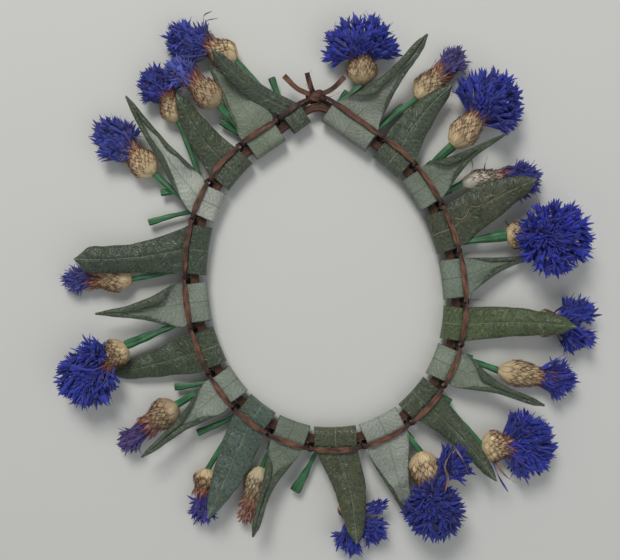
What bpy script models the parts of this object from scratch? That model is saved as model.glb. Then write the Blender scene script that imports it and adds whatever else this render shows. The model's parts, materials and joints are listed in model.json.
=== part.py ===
"""A flower crown: twenty leaves folded over a flat bark core and twined in place by two bark
strips, a cornflower hooked round the core at nearly every gap, and a knot that closes the ring.

Metres, +Z up. The crown lies on its back: z = 0 is the side it rests on, and the leaf tips
and blooms face +Z. The origin is the middle of the ring, on the resting plane.
"""

import math

import bmesh
import bpy
from mathutils import Matrix, Vector

# ---------------------------------------------------------------- driving dimensions
CLEARANCE = 0.0003  # between pieces that touch

# The ring line is where the two strips bind the leaves.
RING_RADIUS = 0.0631
RING_OVAL = 0.0058  # how far the long axis stands out and the short one draws in
RING_LONG_AXIS = 100.6  # degrees, direction of the long axis
RING_DROP = 0.0043  # how far the ring's middle sits below the origin
PEAK_RISE = 0.0089  # how far the knot pulls the ring into a peak
PEAK_ANGLE = 91.9  # degrees
PEAK_SPREAD = 12.3  # degrees

# Gaps between leaves, in degrees, clockwise from the right side of the knot.
GAP_ANGLES = (
    88.5, 67.0, 50.0, 30.5, 9.0, -11.5, -28.0, -43.5, -60.0, -77.5, -95.0,
    -109.5, -124.0, -139.0, -157.5, -178.0, -202.5, -219.0, -237.0, -253.5, -263.0,
)

CORE_WIDTH = 0.0034
CORE_THICKNESS = 0.0016
CORE_POINTS = 60
STEM_RADIUS = 0.0009
LEAF_THICKNESS = 0.0006
LEAF_GAP = 0.0040  # between neighbouring leaves, where the strips cross
FOLD_NARROWING = 0.88  # a leaf's width at its fold, as a share of its width at the strips
BACK_REACH = 0.0230  # how far a leaf's back blade runs out from the strips
BACK_TAPER = 0.8
BACK_SETTLE = 0.0080  # how far out the back blade comes down to the resting plane
STRIP_WIDTH = 0.0016
STRIP_THICKNESS = 0.0008
HOOK_INSET = 0.0020  # from a leaf's edge to the stem that is hooked under it
LEAF_DIP_SLOPE = 0.34  # how steeply a leaf rises on either side of the strips
NECK_FLARE = 0.0007  # how far a flower cup's base stands out round its stem
MOUTH_SHARE = 0.62  # radius of a cup's mouth, as a share of its belly

# ---------------------------------------------------------------- what follows from them
STRIP_SWING = (STRIP_WIDTH + CLEARANCE) / 2  # the strips pass each other this far off the line
CORE_INSET = STRIP_SWING + STRIP_WIDTH / 2 + CLEARANCE + CORE_WIDTH / 2
STRIP_LIFT = CLEARANCE + LEAF_DIP_SLOPE * STRIP_WIDTH  # spans the dip in the leaf below it
STEM_SPREAD = STEM_RADIUS + CLEARANCE  # a stem's two legs, above and below the core's level
STEM_OFF_CORE = STEM_RADIUS + CLEARANCE
NECK_RADIUS = STEM_RADIUS + NECK_FLARE
LEAF_OVER_STEM = STEM_RADIUS + CLEARANCE + LEAF_THICKNESS / 2
LEAF_OFF_CORE = STEM_OFF_CORE + LEAF_OVER_STEM
WAIST_HALF_HEIGHT = STEM_SPREAD + LEAF_OVER_STEM
STRIP_HALF_HEIGHT = WAIST_HALF_HEIGHT + LEAF_THICKNESS / 2 + STRIP_LIFT + STRIP_THICKNESS / 2
CORE_LEVEL = STRIP_HALF_HEIGHT + STRIP_THICKNESS / 2 + CLEARANCE
REST_LEVEL = LEAF_THICKNESS / 2

# ---------------------------------------------------------------- leaves
# For each leaf, clockwise from the knot: name, which face shows, reach of the front blade,
# sweep of its tip (degrees, counter-clockwise), tip height, taper, sideways bow (counter-
# clockwise), and camber (green edges roll back, pale edges roll forward).
LEAVES = (
    ("leaf_r01", "pale", 0.0425, -6.5, 0.0170, 1.10, -0.0010, 0.0020),
    ("leaf_r02", "green", 0.0345, 2.0, 0.0100, 0.60, 0.0018, 0.0012),
    ("leaf_r03", "pale", 0.0346, -1.0, 0.0205, 1.60, 0.0012, 0.0020),
    ("leaf_r04", "green", 0.0384, 10.0, 0.0165, 0.50, 0.0017, 0.0012),
    ("leaf_r05", "pale", 0.0368, 7.5, 0.0035, 1.60, 0.0014, 0.0006),
    ("leaf_r06", "green", 0.0444, 6.5, 0.0160, 0.55, 0.0013, 0.0020),
    ("leaf_r07", "pale", 0.0399, 0.5, 0.0130, 1.80, -0.0008, 0.0020),
    ("leaf_r08", "green", 0.0402, -5.5, 0.0150, 0.60, 0.0014, 0.0020),
    ("leaf_r09", "pale", 0.0423, -8.0, 0.0060, 1.10, -0.0010, 0.0012),
    ("leaf_r10", "green", 0.0386, 10.5, 0.0150, 0.60, 0.0020, 0.0020),
    ("leaf_l10", "pale", 0.0408, -1.0, 0.0130, 1.80, -0.0013, 0.0020),
    ("leaf_l09", "green", 0.0420, 13.5, 0.0145, 0.50, 0.0002, 0.0020),
    ("leaf_l08", "pale", 0.0415, 3.0, 0.0130, 1.50, 0.0003, 0.0020),
    ("leaf_l07", "green", 0.0388, -6.5, 0.0045, 0.60, 0.0003, 0.0012),
    ("leaf_l06", "pale", 0.0374, -1.5, 0.0120, 1.30, 0.0007, 0.0020),
    ("leaf_l05", "green", 0.0456, 12.5, 0.0155, 0.60, 0.0017, 0.0020),
    ("leaf_l04", "pale", 0.0508, -31.0, 0.0140, 1.10, 0.0011, 0.0010),
    ("leaf_l03", "green", 0.0331, -13.5, 0.0140, 0.60, 0.0017, 0.0020),
    ("leaf_l02", "pale", 0.0345, 2.5, 0.0065, 0.90, -0.0010, 0.0006),
    ("leaf_l01", "green", 0.0383, 18.5, 0.0180, 0.50, 0.0026, 0.0010),
)

# ---------------------------------------------------------------- flowers
# For each flower: name, the gap it stands at, the side of the gap its stem is hooked on
# (1 counter-clockwise, -1 clockwise), its neck (out, counter-clockwise, up), aim (degrees
# counter-clockwise from straight out), rise (degrees), cup length and radius, bloom radius
# and length, and where the cut end of its stem comes out (out, counter-clockwise).
FLOWERS = (
    ("01", 0, -1, (0.0136, -0.0077, 0.0058), 38, 6, 0.0110, 0.0058, 0.0125, 0.0165, (0.0080, -0.0040)),
    ("02", 1, 1, (0.0225, -0.0014, 0.0042), -6, 0, 0.0130, 0.0055, 0.0075, 0.0140, (0.0165, 0.0012)),
    ("03", 2, -1, (0.0168, -0.0042, 0.0080), 8, 6, 0.0150, 0.0055, 0.0145, 0.0200, (0.0070, -0.0040)),
    ("04", 3, 1, (0.0125, 0.0040, 0.0050), -18, 2, 0.0150, 0.0040, 0.0085, 0.0165, (0.0070, 0.0040)),
    ("05", 4, 1, (0.0208, 0.0024, 0.0070), -15, 10, 0.0080, 0.0050, 0.0150, 0.0270, (0.0070, 0.0040)),
    ("06", 5, -1, (0.0290, -0.0084, 0.0055), -3, 0, 0.0090, 0.0050, 0.0110, 0.0185, (0.0070, -0.0040)),
    ("07", 6, -1, (0.0186, -0.0057, 0.0055), 7, 2, 0.0170, 0.0050, 0.0080, 0.0140, (0.0070, -0.0040)),
    ("08", 7, -1, (0.0274, -0.0123, 0.0060), 35, 4, 0.0095, 0.0060, 0.0130, 0.0200, (0.0070, -0.0040)),
    ("09", 8, -1, (0.0125, -0.0038, 0.0070), -25, 12, 0.0130, 0.0060, 0.0115, 0.0210, (0.0070, -0.0040)),
    ("10", 10, 1, (0.0190, 0.0185, 0.0050), 32, 2, 0.0080, 0.0045, 0.0105, 0.0160, (0.0197, -0.0030)),
    ("11", 11, 1, (0.0143, 0.0048, 0.0050), 11, 0, 0.0130, 0.0050, 0.0050, 0.0110, (0.0070, 0.0040)),
    ("12", 12, 1, (0.0263, 0.0108, 0.0050), 34, 0, 0.0080, 0.0045, 0.0060, 0.0140, (0.0190, -0.0030)),
    ("13", 13, 1, (0.0185, 0.0049, 0.0055), 7, 2, 0.0120, 0.0060, 0.0060, 0.0170, (0.0160, -0.0020)),
    ("14", 14, -1, (0.0282, -0.0003, 0.0075), 25, 8, 0.0090, 0.0055, 0.0140, 0.0240, (0.0070, -0.0040)),
    ("15", 15, -1, (0.0228, 0.0000, 0.0050), 0, 0, 0.0130, 0.0048, 0.0060, 0.0150, (0.0070, -0.0040)),
    ("16", 16, -1, (0.0209, -0.0142, 0.0056), -29, 2, 0.0115, 0.0055, 0.0105, 0.0190, (0.0179, 0.0060)),
    ("17", 17, 1, (0.0247, -0.0146, 0.0050), -31, 2, 0.0095, 0.0050, 0.0078, 0.0150, (0.0150, 0.0150)),
    ("18", 18, -1, (0.0187, -0.0043, 0.0075), 6, 14, 0.0120, 0.0055, 0.0062, 0.0140, (0.0136, -0.0006)),
    ("19", 19, -1, (0.0308, 0.0002, 0.0050), 26, 0, 0.0110, 0.0055, 0.0095, 0.0195, (0.0165, -0.0080)),
)
FUSED_FLOWERS = ("06", "10")  # their stems are hidden, so stem and head are one piece
BLOOM_PRESS = 0.50  # a dried bloom is pressed flat against the resting plane
CUP_PRESS = 0.70

# ---------------------------------------------------------------- knot
KNOT_ANGLE = 92.7
KNOT_SIZE = (0.0062, 0.0050, 0.0052)  # along the ring, outwards, up
KNOT_TAIL_RADIUS = 0.0008
KNOT_TAILS = (((0.0095, 0.0125), 0.0090), ((0.0095, 0.0030), 0.0110), ((0.0075, -0.0125), 0.0080))

# Colours are linear RGB with roughness.
FINISHES = {
    "green": ((0.060, 0.085, 0.045), 0.55),
    "pale": ((0.360, 0.410, 0.350), 0.80),
    "stem": ((0.010, 0.180, 0.070), 0.50),
    "bark": ((0.160, 0.055, 0.035), 0.80),
    "bloom": ((0.045, 0.045, 0.420), 0.90),
}


# ---------------------------------------------------------------- the ring line
def ring_point(angle, outward=0.0):
    """A point of the ring line at an angle in degrees, or at a distance outside it."""
    from_long_axis = math.radians(angle - RING_LONG_AXIS)
    from_peak = (angle - PEAK_ANGLE + 180.0) % 360.0 - 180.0
    radius = RING_RADIUS + RING_OVAL * math.cos(2 * from_long_axis)
    radius += PEAK_RISE * math.exp(-((from_peak / PEAK_SPREAD) ** 2))
    turn = math.radians(angle)
    radius -= RING_DROP * math.sin(turn)
    point = Vector((math.cos(turn), math.sin(turn), 0.0)) * radius
    if outward:
        point += ring_frame(angle)[1] * outward
    return point


def ring_frame(angle):
    """The ring line's point, outward direction and counter-clockwise direction there."""
    step = 0.05
    along = (ring_point(angle + step) - ring_point(angle - step)).normalized()
    return ring_point(angle), Vector((along.y, -along.x, 0.0)), along


def at(frame, outward, along, height):
    """A point given outwards, counter-clockwise and up in a frame on the ring."""
    point, out_direction, along_direction = frame
    return point + out_direction * outward + along_direction * along + Vector((0, 0, height))


# ---------------------------------------------------------------- helpers
def finish(name):
    """The material of one kind of piece, made once."""
    if name in bpy.data.materials:
        return bpy.data.materials[name]
    colour, roughness = FINISHES[name]
    material = bpy.data.materials.new(name)
    material.use_nodes = True
    shader = material.node_tree.nodes["Principled BSDF"]
    shader.inputs["Base Color"].default_value = (*colour, 1.0)
    shader.inputs["Roughness"].default_value = roughness
    shader.inputs["Metallic"].default_value = 0.0
    return material


def add_object(name, data, finish_name, collection):
    piece = bpy.data.objects.new(name, data)
    data.materials.append(finish(finish_name))
    collection.objects.link(piece)
    return piece


def smooth_path(knots, steps):
    """Points on a Catmull-Rom curve through the given points."""
    padded = [knots[0] * 2 - knots[1], *knots, knots[-1] * 2 - knots[-2]]
    points = []
    for before, start, end, after in zip(padded, padded[1:], padded[2:], padded[3:]):
        for step in range(steps):
            t = step / steps
            points.append(
                0.5 * (2 * start + (end - before) * t
                       + (2 * before - 5 * start + 4 * end - after) * t**2
                       + (3 * start - before - 3 * end + after) * t**3)
            )
    return [*points, knots[-1].copy()]


def tube(name, points, radius, finish_name, collection, resolution=1):
    """A round tube with closed ends along the given points."""
    curve = bpy.data.curves.new(name, "CURVE")
    curve.dimensions = "3D"
    curve.bevel_depth = radius
    curve.bevel_resolution = resolution
    curve.use_fill_caps = True
    spline = curve.splines.new("POLY")
    spline.points.add(len(points) - 1)
    for spot, point in zip(spline.points, points):
        spot.co = (*point, 1.0)
    return add_object(name, curve, finish_name, collection)


def strip(name, points, width, thickness, finish_name, collection, cyclic=False):
    """A flat strip along the given points, its width level with the resting plane."""
    outline = bpy.data.curves.new(name + "_section", "CURVE")
    outline.dimensions = "2D"
    edge = outline.splines.new("POLY")
    edge.points.add(3)
    edge.use_cyclic_u = True
    corners = ((-1, -1), (-1, 1), (1, 1), (1, -1))
    for spot, (across, up) in zip(edge.points, corners):
        spot.co = (across * width / 2, up * thickness / 2, 0.0, 1.0)
    section = bpy.data.objects.new(name + "_section", outline)
    section.hide_render = True
    section.display_type = "WIRE"
    guides().objects.link(section)
    curve = bpy.data.curves.new(name, "CURVE")
    curve.dimensions = "3D"
    curve.twist_mode = "Z_UP"
    curve.bevel_mode = "OBJECT"
    curve.bevel_object = section
    curve.use_fill_caps = not cyclic
    spline = curve.splines.new("POLY")
    spline.points.add(len(points) - 1)
    spline.use_cyclic_u = cyclic
    for spot, point in zip(spline.points, points):
        spot.co = (*point, 1.0)
    return add_object(name, curve, finish_name, collection)


def guides():
    """The collection that holds the outlines the strips are swept from."""
    if "guides" not in bpy.data.collections:
        helpers = bpy.data.collections.new("guides")
        bpy.context.scene.collection.children.link(helpers)
    return bpy.data.collections["guides"]


def as_mesh(piece):
    """Replaces a curve object by the same shape as a closed mesh object."""
    graph = bpy.context.evaluated_depsgraph_get()
    mesh = bpy.data.meshes.new_from_object(piece.evaluated_get(graph))
    weld = bmesh.new()
    weld.from_mesh(mesh)
    bmesh.ops.remove_doubles(weld, verts=weld.verts, dist=1e-6)
    weld.to_mesh(mesh)
    weld.free()
    name, holder, matrix = piece.name, piece.users_collection[0], piece.matrix_world.copy()
    bpy.data.objects.remove(piece)
    solid = bpy.data.objects.new(name, mesh)
    solid.matrix_world = matrix
    holder.objects.link(solid)
    return solid


def join(base, other):
    """Unites another piece into the base with a Boolean, and hides the other."""
    union = base.modifiers.new("join_" + other.name, "BOOLEAN")
    union.operation = "UNION"
    union.object = other
    other.hide_render = True
    other.display_type = "WIRE"


def round_core(distance):
    """(outward, height) of a bend round the core's inner side, from below it to above it."""
    stand_off = distance / math.cos(math.radians(22.5))  # the bend's corners clear a true arc
    outer_side = -CORE_INSET + CORE_WIDTH / 2
    half_height = CORE_THICKNESS / 2 + stand_off
    bend = [(outer_side, CORE_LEVEL - half_height)]
    for side, turns in ((-1, (270, 225, 180)), (1, (180, 135, 90))):
        for turn in turns:
            angle = math.radians(turn)
            out = -CORE_INSET - CORE_WIDTH / 2 + stand_off * math.cos(angle)
            height = side * CORE_THICKNESS / 2 + stand_off * math.sin(angle)
            bend.append((out, CORE_LEVEL + height))
    return [*bend, (outer_side, CORE_LEVEL + half_height)]


# ---------------------------------------------------------------- core and strips
def add_core(collection):
    """The flat bark core that the leaves are folded over, a closed loop."""
    points = []
    for step in range(CORE_POINTS):
        point = ring_point(step * 360.0 / CORE_POINTS, -CORE_INSET)
        points.append(point + Vector((0, 0, CORE_LEVEL)))
    return strip("core_band", points, CORE_WIDTH, CORE_THICKNESS, "bark", collection, cyclic=True)


def strip_points(first_leaf_in_front):
    """One of the two twined strips: over a leaf, through the gap, under the next leaf."""
    side = 1.0 if first_leaf_in_front else -1.0
    half_turn = 0.0 if first_leaf_in_front else math.pi
    crossing = (-0.5, -0.25, 0.0, 0.25, 0.5)
    points = []
    first = at(gap_frame(0), 0.0, -LEAF_GAP / 2, CORE_LEVEL + side * STRIP_HALF_HEIGHT)
    points.append(first)
    last_gap = len(GAP_ANGLES) - 1
    for gap in range(1, last_gap):
        frame = gap_frame(gap)
        for share in crossing:
            turn = half_turn + math.pi * (gap - 0.5 + share)
            out = STRIP_SWING * math.sin(turn)
            rise = STRIP_HALF_HEIGHT * math.cos(turn)
            points.append(at(frame, out, -share * LEAF_GAP, CORE_LEVEL + rise))
        if gap < last_gap - 1:
            over_leaf, _, bulge = leaf_frame(gap)
            points.append(at(over_leaf, bulge, 0.0, CORE_LEVEL + rise))
    last_side = -side if last_gap % 2 == 0 else side
    last = at(gap_frame(last_gap), 0.0, LEAF_GAP / 2, CORE_LEVEL + last_side * STRIP_HALF_HEIGHT)
    return [*points, last]


def add_strips(collection):
    for name, in_front in (("binding_strip_a", True), ("binding_strip_b", False)):
        strip(name, strip_points(in_front), STRIP_WIDTH, STRIP_THICKNESS, "bark", collection)


def add_knot(collection):
    """The knot that closes the ring, with the three cut ends of the strips."""
    frame = ring_frame(KNOT_ANGLE)
    centre = at(frame, STRIP_WIDTH / 2, 0.0, CORE_LEVEL)
    mesh = bpy.data.meshes.new("knot")
    ball = bmesh.new()
    bmesh.ops.create_uvsphere(ball, u_segments=12, v_segments=8, radius=0.5)
    turn = Matrix((frame[2], frame[1], Vector((0, 0, 1)))).transposed().to_4x4()
    size = Matrix.Diagonal((*KNOT_SIZE, 1.0))
    bmesh.ops.transform(ball, matrix=Matrix.Translation(centre) @ turn @ size, verts=ball.verts)
    bmesh.ops.recalc_face_normals(ball, faces=ball.faces)
    ball.to_mesh(mesh)
    ball.free()
    knot = add_object("knot", mesh, "bark", collection)
    for number, ((out, along), height) in enumerate(KNOT_TAILS, start=1):
        end = at(frame, out, along, height)
        middle = (centre + end) / 2 + Vector((0, 0, KNOT_TAIL_RADIUS))
        points = smooth_path([centre, middle, end], 3)
        tail = tube(f"knot_tail_{number}", points, KNOT_TAIL_RADIUS, "bark", guides(), resolution=0)
        join(knot, as_mesh(tail))
    return knot


# ---------------------------------------------------------------- leaves and gaps
def leaf_frame(index):
    """A leaf's own frame, from the two gaps beside it, with its pitch and the ring's bulge."""
    first = ring_point(GAP_ANGLES[index])
    second = ring_point(GAP_ANGLES[index + 1])
    middle = (first + second) / 2
    along = (first - second).normalized()
    outward = Vector((along.y, -along.x, 0.0))
    if outward.dot(middle) < 0:
        outward.negate()
    crest = ring_point((GAP_ANGLES[index] + GAP_ANGLES[index + 1]) / 2)
    return (middle, outward, along), (first - second).length, (crest - middle).dot(outward)


def gap_frame(gap):
    """A gap's own frame, facing midway between the leaves beside it."""
    outward = Vector((0, 0, 0))
    for index in (gap - 1, gap):
        if 0 <= index < len(LEAVES):
            outward += leaf_frame(index)[0][1]
    outward.normalize()
    return ring_point(GAP_ANGLES[gap]), outward, Vector((-outward.y, outward.x, 0.0))


def leaf_section(reach, tip_height, taper):
    """(outward, height, width share, camber share, bow share) from back tip to front tip."""
    rows = []
    for share in (1.0, 0.65):
        out = BACK_REACH * share
        rows.append((out, REST_LEVEL, max(1.0 - share, 0.02) ** BACK_TAPER, 0.0, 0.0))
    settled = (1.0 - BACK_SETTLE / BACK_REACH) ** BACK_TAPER
    rows.append((BACK_SETTLE, REST_LEVEL, settled, 0.0, 0.0))
    rows.append((0.0, CORE_LEVEL - WAIST_HALF_HEIGHT, 1.0, 0.0, 0.0))
    rows += [(out, height, FOLD_NARROWING, 0.0, 0.0) for out, height in round_core(LEAF_OFF_CORE)]
    waist_height = CORE_LEVEL + WAIST_HALF_HEIGHT
    rows.append((0.0, waist_height, 1.0, 0.0, 0.0))
    for share in (0.14, 0.32, 0.52, 0.72, 0.9, 1.0):
        height = waist_height + (tip_height - waist_height) * share**1.3
        width = max(1.0 - share, 0.02) ** taper
        rows.append((reach * share, height, width, min(share * 4, 1.0), math.sin(math.pi * share)))
    return rows


def add_leaf(index, name, face, reach, sweep, tip_height, taper, bow, camber, collection):
    """A leaf folded over the core: back blade, fold, waist and front blade in one sheet."""
    frame, pitch, bulge = leaf_frame(index)
    width = pitch - LEAF_GAP
    camber *= -1.0 if face == "green" else 1.0
    sideways = math.tan(math.radians(sweep))
    straight = math.cos(math.radians(sweep))
    sheet = bmesh.new()
    rows = []
    for out, height, share, camber_share, bow_share in leaf_section(reach * straight, tip_height, taper):
        row = []
        for column in (-1.0, -0.5, 0.0, 0.5, 1.0):
            across = column * width / 2 * share
            lean = (sideways * out + bow * bow_share) if camber_share else 0.0
            bend = bulge * (1 - (2 * across / pitch) ** 2) * max(0.0, 1 - abs(out) / reach)
            lift = camber * column**2 * camber_share * share
            row.append(sheet.verts.new(at(frame, out + bend, across + lean, height + lift)))
        rows.append(row)
    for lower, upper in zip(rows, rows[1:]):
        for left in range(len(lower) - 1):
            sheet.faces.new((lower[left], lower[left + 1], upper[left + 1], upper[left]))
    mesh = bpy.data.meshes.new(name)
    sheet.to_mesh(mesh)
    sheet.free()
    mesh.shade_smooth()
    leaf = add_object(name, mesh, face, collection)
    solidify = leaf.modifiers.new("thickness", "SOLIDIFY")
    solidify.thickness = LEAF_THICKNESS
    solidify.offset = 0.0
    return leaf


# ---------------------------------------------------------------- flowers
def stem_points(gap, side, neck, cut_end):
    """A stem's line: cut end, under the core, round its inner edge, over it, out to the neck."""
    frame = gap_frame(gap)
    under = side * (LEAF_GAP / 2 + HOOK_INSET)
    knots = [
        at(frame, cut_end[0], cut_end[1], CORE_LEVEL - STEM_SPREAD),
        at(frame, (cut_end[0] + STRIP_WIDTH) / 2, (cut_end[1] + under) / 2, CORE_LEVEL - STEM_SPREAD),
        at(frame, 0.0, under, CORE_LEVEL - STEM_SPREAD),
    ]
    knots += [at(frame, out, under, height) for out, height in round_core(STEM_OFF_CORE)]
    waist = at(frame, 0.0, under, CORE_LEVEL + STEM_SPREAD)
    end = at(frame, *neck)
    knots += [waist, waist.lerp(end, 0.25), waist.lerp(end, 0.6), end]
    return knots


def head_profile(cup_length, cup_radius, bloom_radius, bloom_length):
    """(radius, distance along the head's axis, press) from the neck to the top of the bloom."""
    mouth = cup_radius * MOUTH_SHARE
    return (
        (NECK_RADIUS, 0.0, CUP_PRESS),
        (cup_radius, cup_length * 0.35, CUP_PRESS),
        (cup_radius * 0.9, cup_length * 0.65, CUP_PRESS),
        (mouth, cup_length, CUP_PRESS),
        (bloom_radius * 0.85, cup_length + bloom_length * 0.25, BLOOM_PRESS),
        (bloom_radius, cup_length + bloom_length * 0.55, BLOOM_PRESS),
        (bloom_radius * 0.6, cup_length + bloom_length * 0.95, BLOOM_PRESS),
    )


def add_head(name, gap, neck, aim, rise, cup, bloom, collection):
    """A flower head, a turned shape pressed flat, with its origin at its neck."""
    frame = gap_frame(gap)
    level = Matrix((frame[1], frame[2], Vector((0, 0, 1)))).transposed().to_4x4()
    turn = Matrix.Rotation(math.radians(aim), 4, "Z") @ Matrix.Rotation(math.radians(-rise), 4, "Y")
    sides = 10
    shell = bmesh.new()
    rings = []
    for radius, distance, press in head_profile(*cup, *bloom):
        ring = []
        for side in range(sides):
            angle = 2 * math.pi * side / sides
            point = (distance, radius * math.cos(angle), radius * press * math.sin(angle))
            ring.append(shell.verts.new(point))
        rings.append(ring)
    for lower, upper in zip(rings, rings[1:]):
        for side in range(sides):
            other = (side + 1) % sides
            shell.faces.new((lower[side], lower[other], upper[other], upper[side]))
    shell.faces.new(rings[0])
    shell.faces.new(rings[-1])
    bmesh.ops.recalc_face_normals(shell, faces=shell.faces)
    mesh = bpy.data.meshes.new(name)
    shell.to_mesh(mesh)
    shell.free()
    mesh.shade_smooth()
    head = add_object(name, mesh, "bloom", collection)
    head.matrix_world = Matrix.Translation(at(frame, *neck)) @ level @ turn
    return head


def add_flower(number, gap, side, neck, aim, rise, cup_length, cup_radius, bloom_radius,
               bloom_length, cut_end, collection):
    """A cornflower: a stem hooked round the core, and the head on its neck."""
    path = smooth_path(stem_points(gap, side, neck, cut_end), 1)
    cup, bloom = (cup_length, cup_radius), (bloom_radius, bloom_length)
    if number in FUSED_FLOWERS:
        flower = add_head(f"cornflower_{number}", gap, neck, aim, rise, cup, bloom, collection)
        stem = tube(f"cornflower_{number}_stem", path, STEM_RADIUS, "stem", guides())
        join(flower, as_mesh(stem))
        return
    direction = (path[-1] - path[-2]).normalized()
    path[-1] -= direction * (CLEARANCE + NECK_RADIUS / 2)
    tube(f"stem_{number}", path, STEM_RADIUS, "stem", collection)
    add_head(f"head_{number}", gap, neck, aim, rise, cup, bloom, collection)


def main():
    for old in list(bpy.data.objects):
        bpy.data.objects.remove(old)
    collection = bpy.data.collections.new("flower_crown")
    bpy.context.scene.collection.children.link(collection)
    add_core(collection)
    add_strips(collection)
    add_knot(collection)
    for index, leaf in enumerate(LEAVES):
        add_leaf(index, *leaf, collection)
    for flower in FLOWERS:
        add_flower(*flower, collection)


main()
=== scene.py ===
"""The looks of a flower crown of dried leaves and cornflowers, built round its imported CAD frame.

Metres, in the frame's own axes: the crown lies on its back, +Z towards the viewer. The ring
line, the leaves and the flowers follow the same driving dimensions as the CAD part.
"""

import json
import math
from collections import namedtuple

import bpy
import numpy as np
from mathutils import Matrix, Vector

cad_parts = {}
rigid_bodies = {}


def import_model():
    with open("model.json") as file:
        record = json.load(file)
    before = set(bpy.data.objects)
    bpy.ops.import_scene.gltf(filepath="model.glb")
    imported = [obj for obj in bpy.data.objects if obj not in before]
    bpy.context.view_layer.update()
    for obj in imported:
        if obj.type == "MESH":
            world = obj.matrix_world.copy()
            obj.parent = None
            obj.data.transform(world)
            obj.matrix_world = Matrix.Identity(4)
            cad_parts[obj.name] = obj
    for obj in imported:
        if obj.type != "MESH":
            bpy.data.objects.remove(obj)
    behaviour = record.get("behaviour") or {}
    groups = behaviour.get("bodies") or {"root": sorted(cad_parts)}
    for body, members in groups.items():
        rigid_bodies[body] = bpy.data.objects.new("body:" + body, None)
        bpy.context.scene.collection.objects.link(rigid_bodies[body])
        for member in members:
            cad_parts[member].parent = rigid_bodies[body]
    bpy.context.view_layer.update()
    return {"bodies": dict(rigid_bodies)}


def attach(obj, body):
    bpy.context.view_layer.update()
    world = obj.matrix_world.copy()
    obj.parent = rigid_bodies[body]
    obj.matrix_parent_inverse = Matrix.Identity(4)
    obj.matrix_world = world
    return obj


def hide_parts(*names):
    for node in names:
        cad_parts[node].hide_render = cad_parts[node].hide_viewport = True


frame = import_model()

# ---- the CAD part's dimensions
CLEARANCE = 0.0003
RING_RADIUS = 0.0631
RING_OVAL = 0.0058
RING_LONG_AXIS = 100.6
RING_DROP = 0.0043
PEAK_RISE = 0.0089
PEAK_ANGLE = 91.9
PEAK_SPREAD = 12.3
GAP_ANGLES = (
    88.5, 67.0, 50.0, 30.5, 9.0, -11.5, -28.0, -43.5, -60.0, -77.5, -95.0,
    -109.5, -124.0, -139.0, -157.5, -178.0, -202.5, -219.0, -237.0, -253.5, -263.0,
)
CORE_WIDTH = 0.0034
CORE_THICKNESS = 0.0016
STEM_RADIUS = 0.0009
LEAF_THICKNESS = 0.0006
LEAF_GAP = 0.0040
BACK_REACH = 0.0230
BACK_SETTLE = 0.0080
STRIP_WIDTH = 0.0016
STRIP_THICKNESS = 0.0008
HOOK_INSET = 0.0020
LEAF_DIP_SLOPE = 0.34
NECK_FLARE = 0.0007
MOUTH_SHARE = 0.62
BLOOM_PRESS = 0.50
CUP_PRESS = 0.70
KNOT_ANGLE = 92.7
KNOT_SIZE = (0.0062, 0.0050, 0.0052)
KNOT_TAILS = (((0.0095, 0.0125), 0.0090), ((0.0095, 0.0030), 0.0110), ((0.0075, -0.0125), 0.0080))

STRIP_SWING = (STRIP_WIDTH + CLEARANCE) / 2
CORE_INSET = STRIP_SWING + STRIP_WIDTH / 2 + CLEARANCE + CORE_WIDTH / 2
STRIP_LIFT = CLEARANCE + LEAF_DIP_SLOPE * STRIP_WIDTH
STEM_SPREAD = STEM_RADIUS + CLEARANCE
NECK_RADIUS = STEM_RADIUS + NECK_FLARE
LEAF_OVER_STEM = STEM_RADIUS + CLEARANCE + LEAF_THICKNESS / 2
WAIST_HALF_HEIGHT = STEM_SPREAD + LEAF_OVER_STEM
STRIP_HALF_HEIGHT = WAIST_HALF_HEIGHT + LEAF_THICKNESS / 2 + STRIP_LIFT + STRIP_THICKNESS / 2
CORE_LEVEL = STRIP_HALF_HEIGHT + STRIP_THICKNESS / 2 + CLEARANCE
REST_LEVEL = LEAF_THICKNESS / 2

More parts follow.
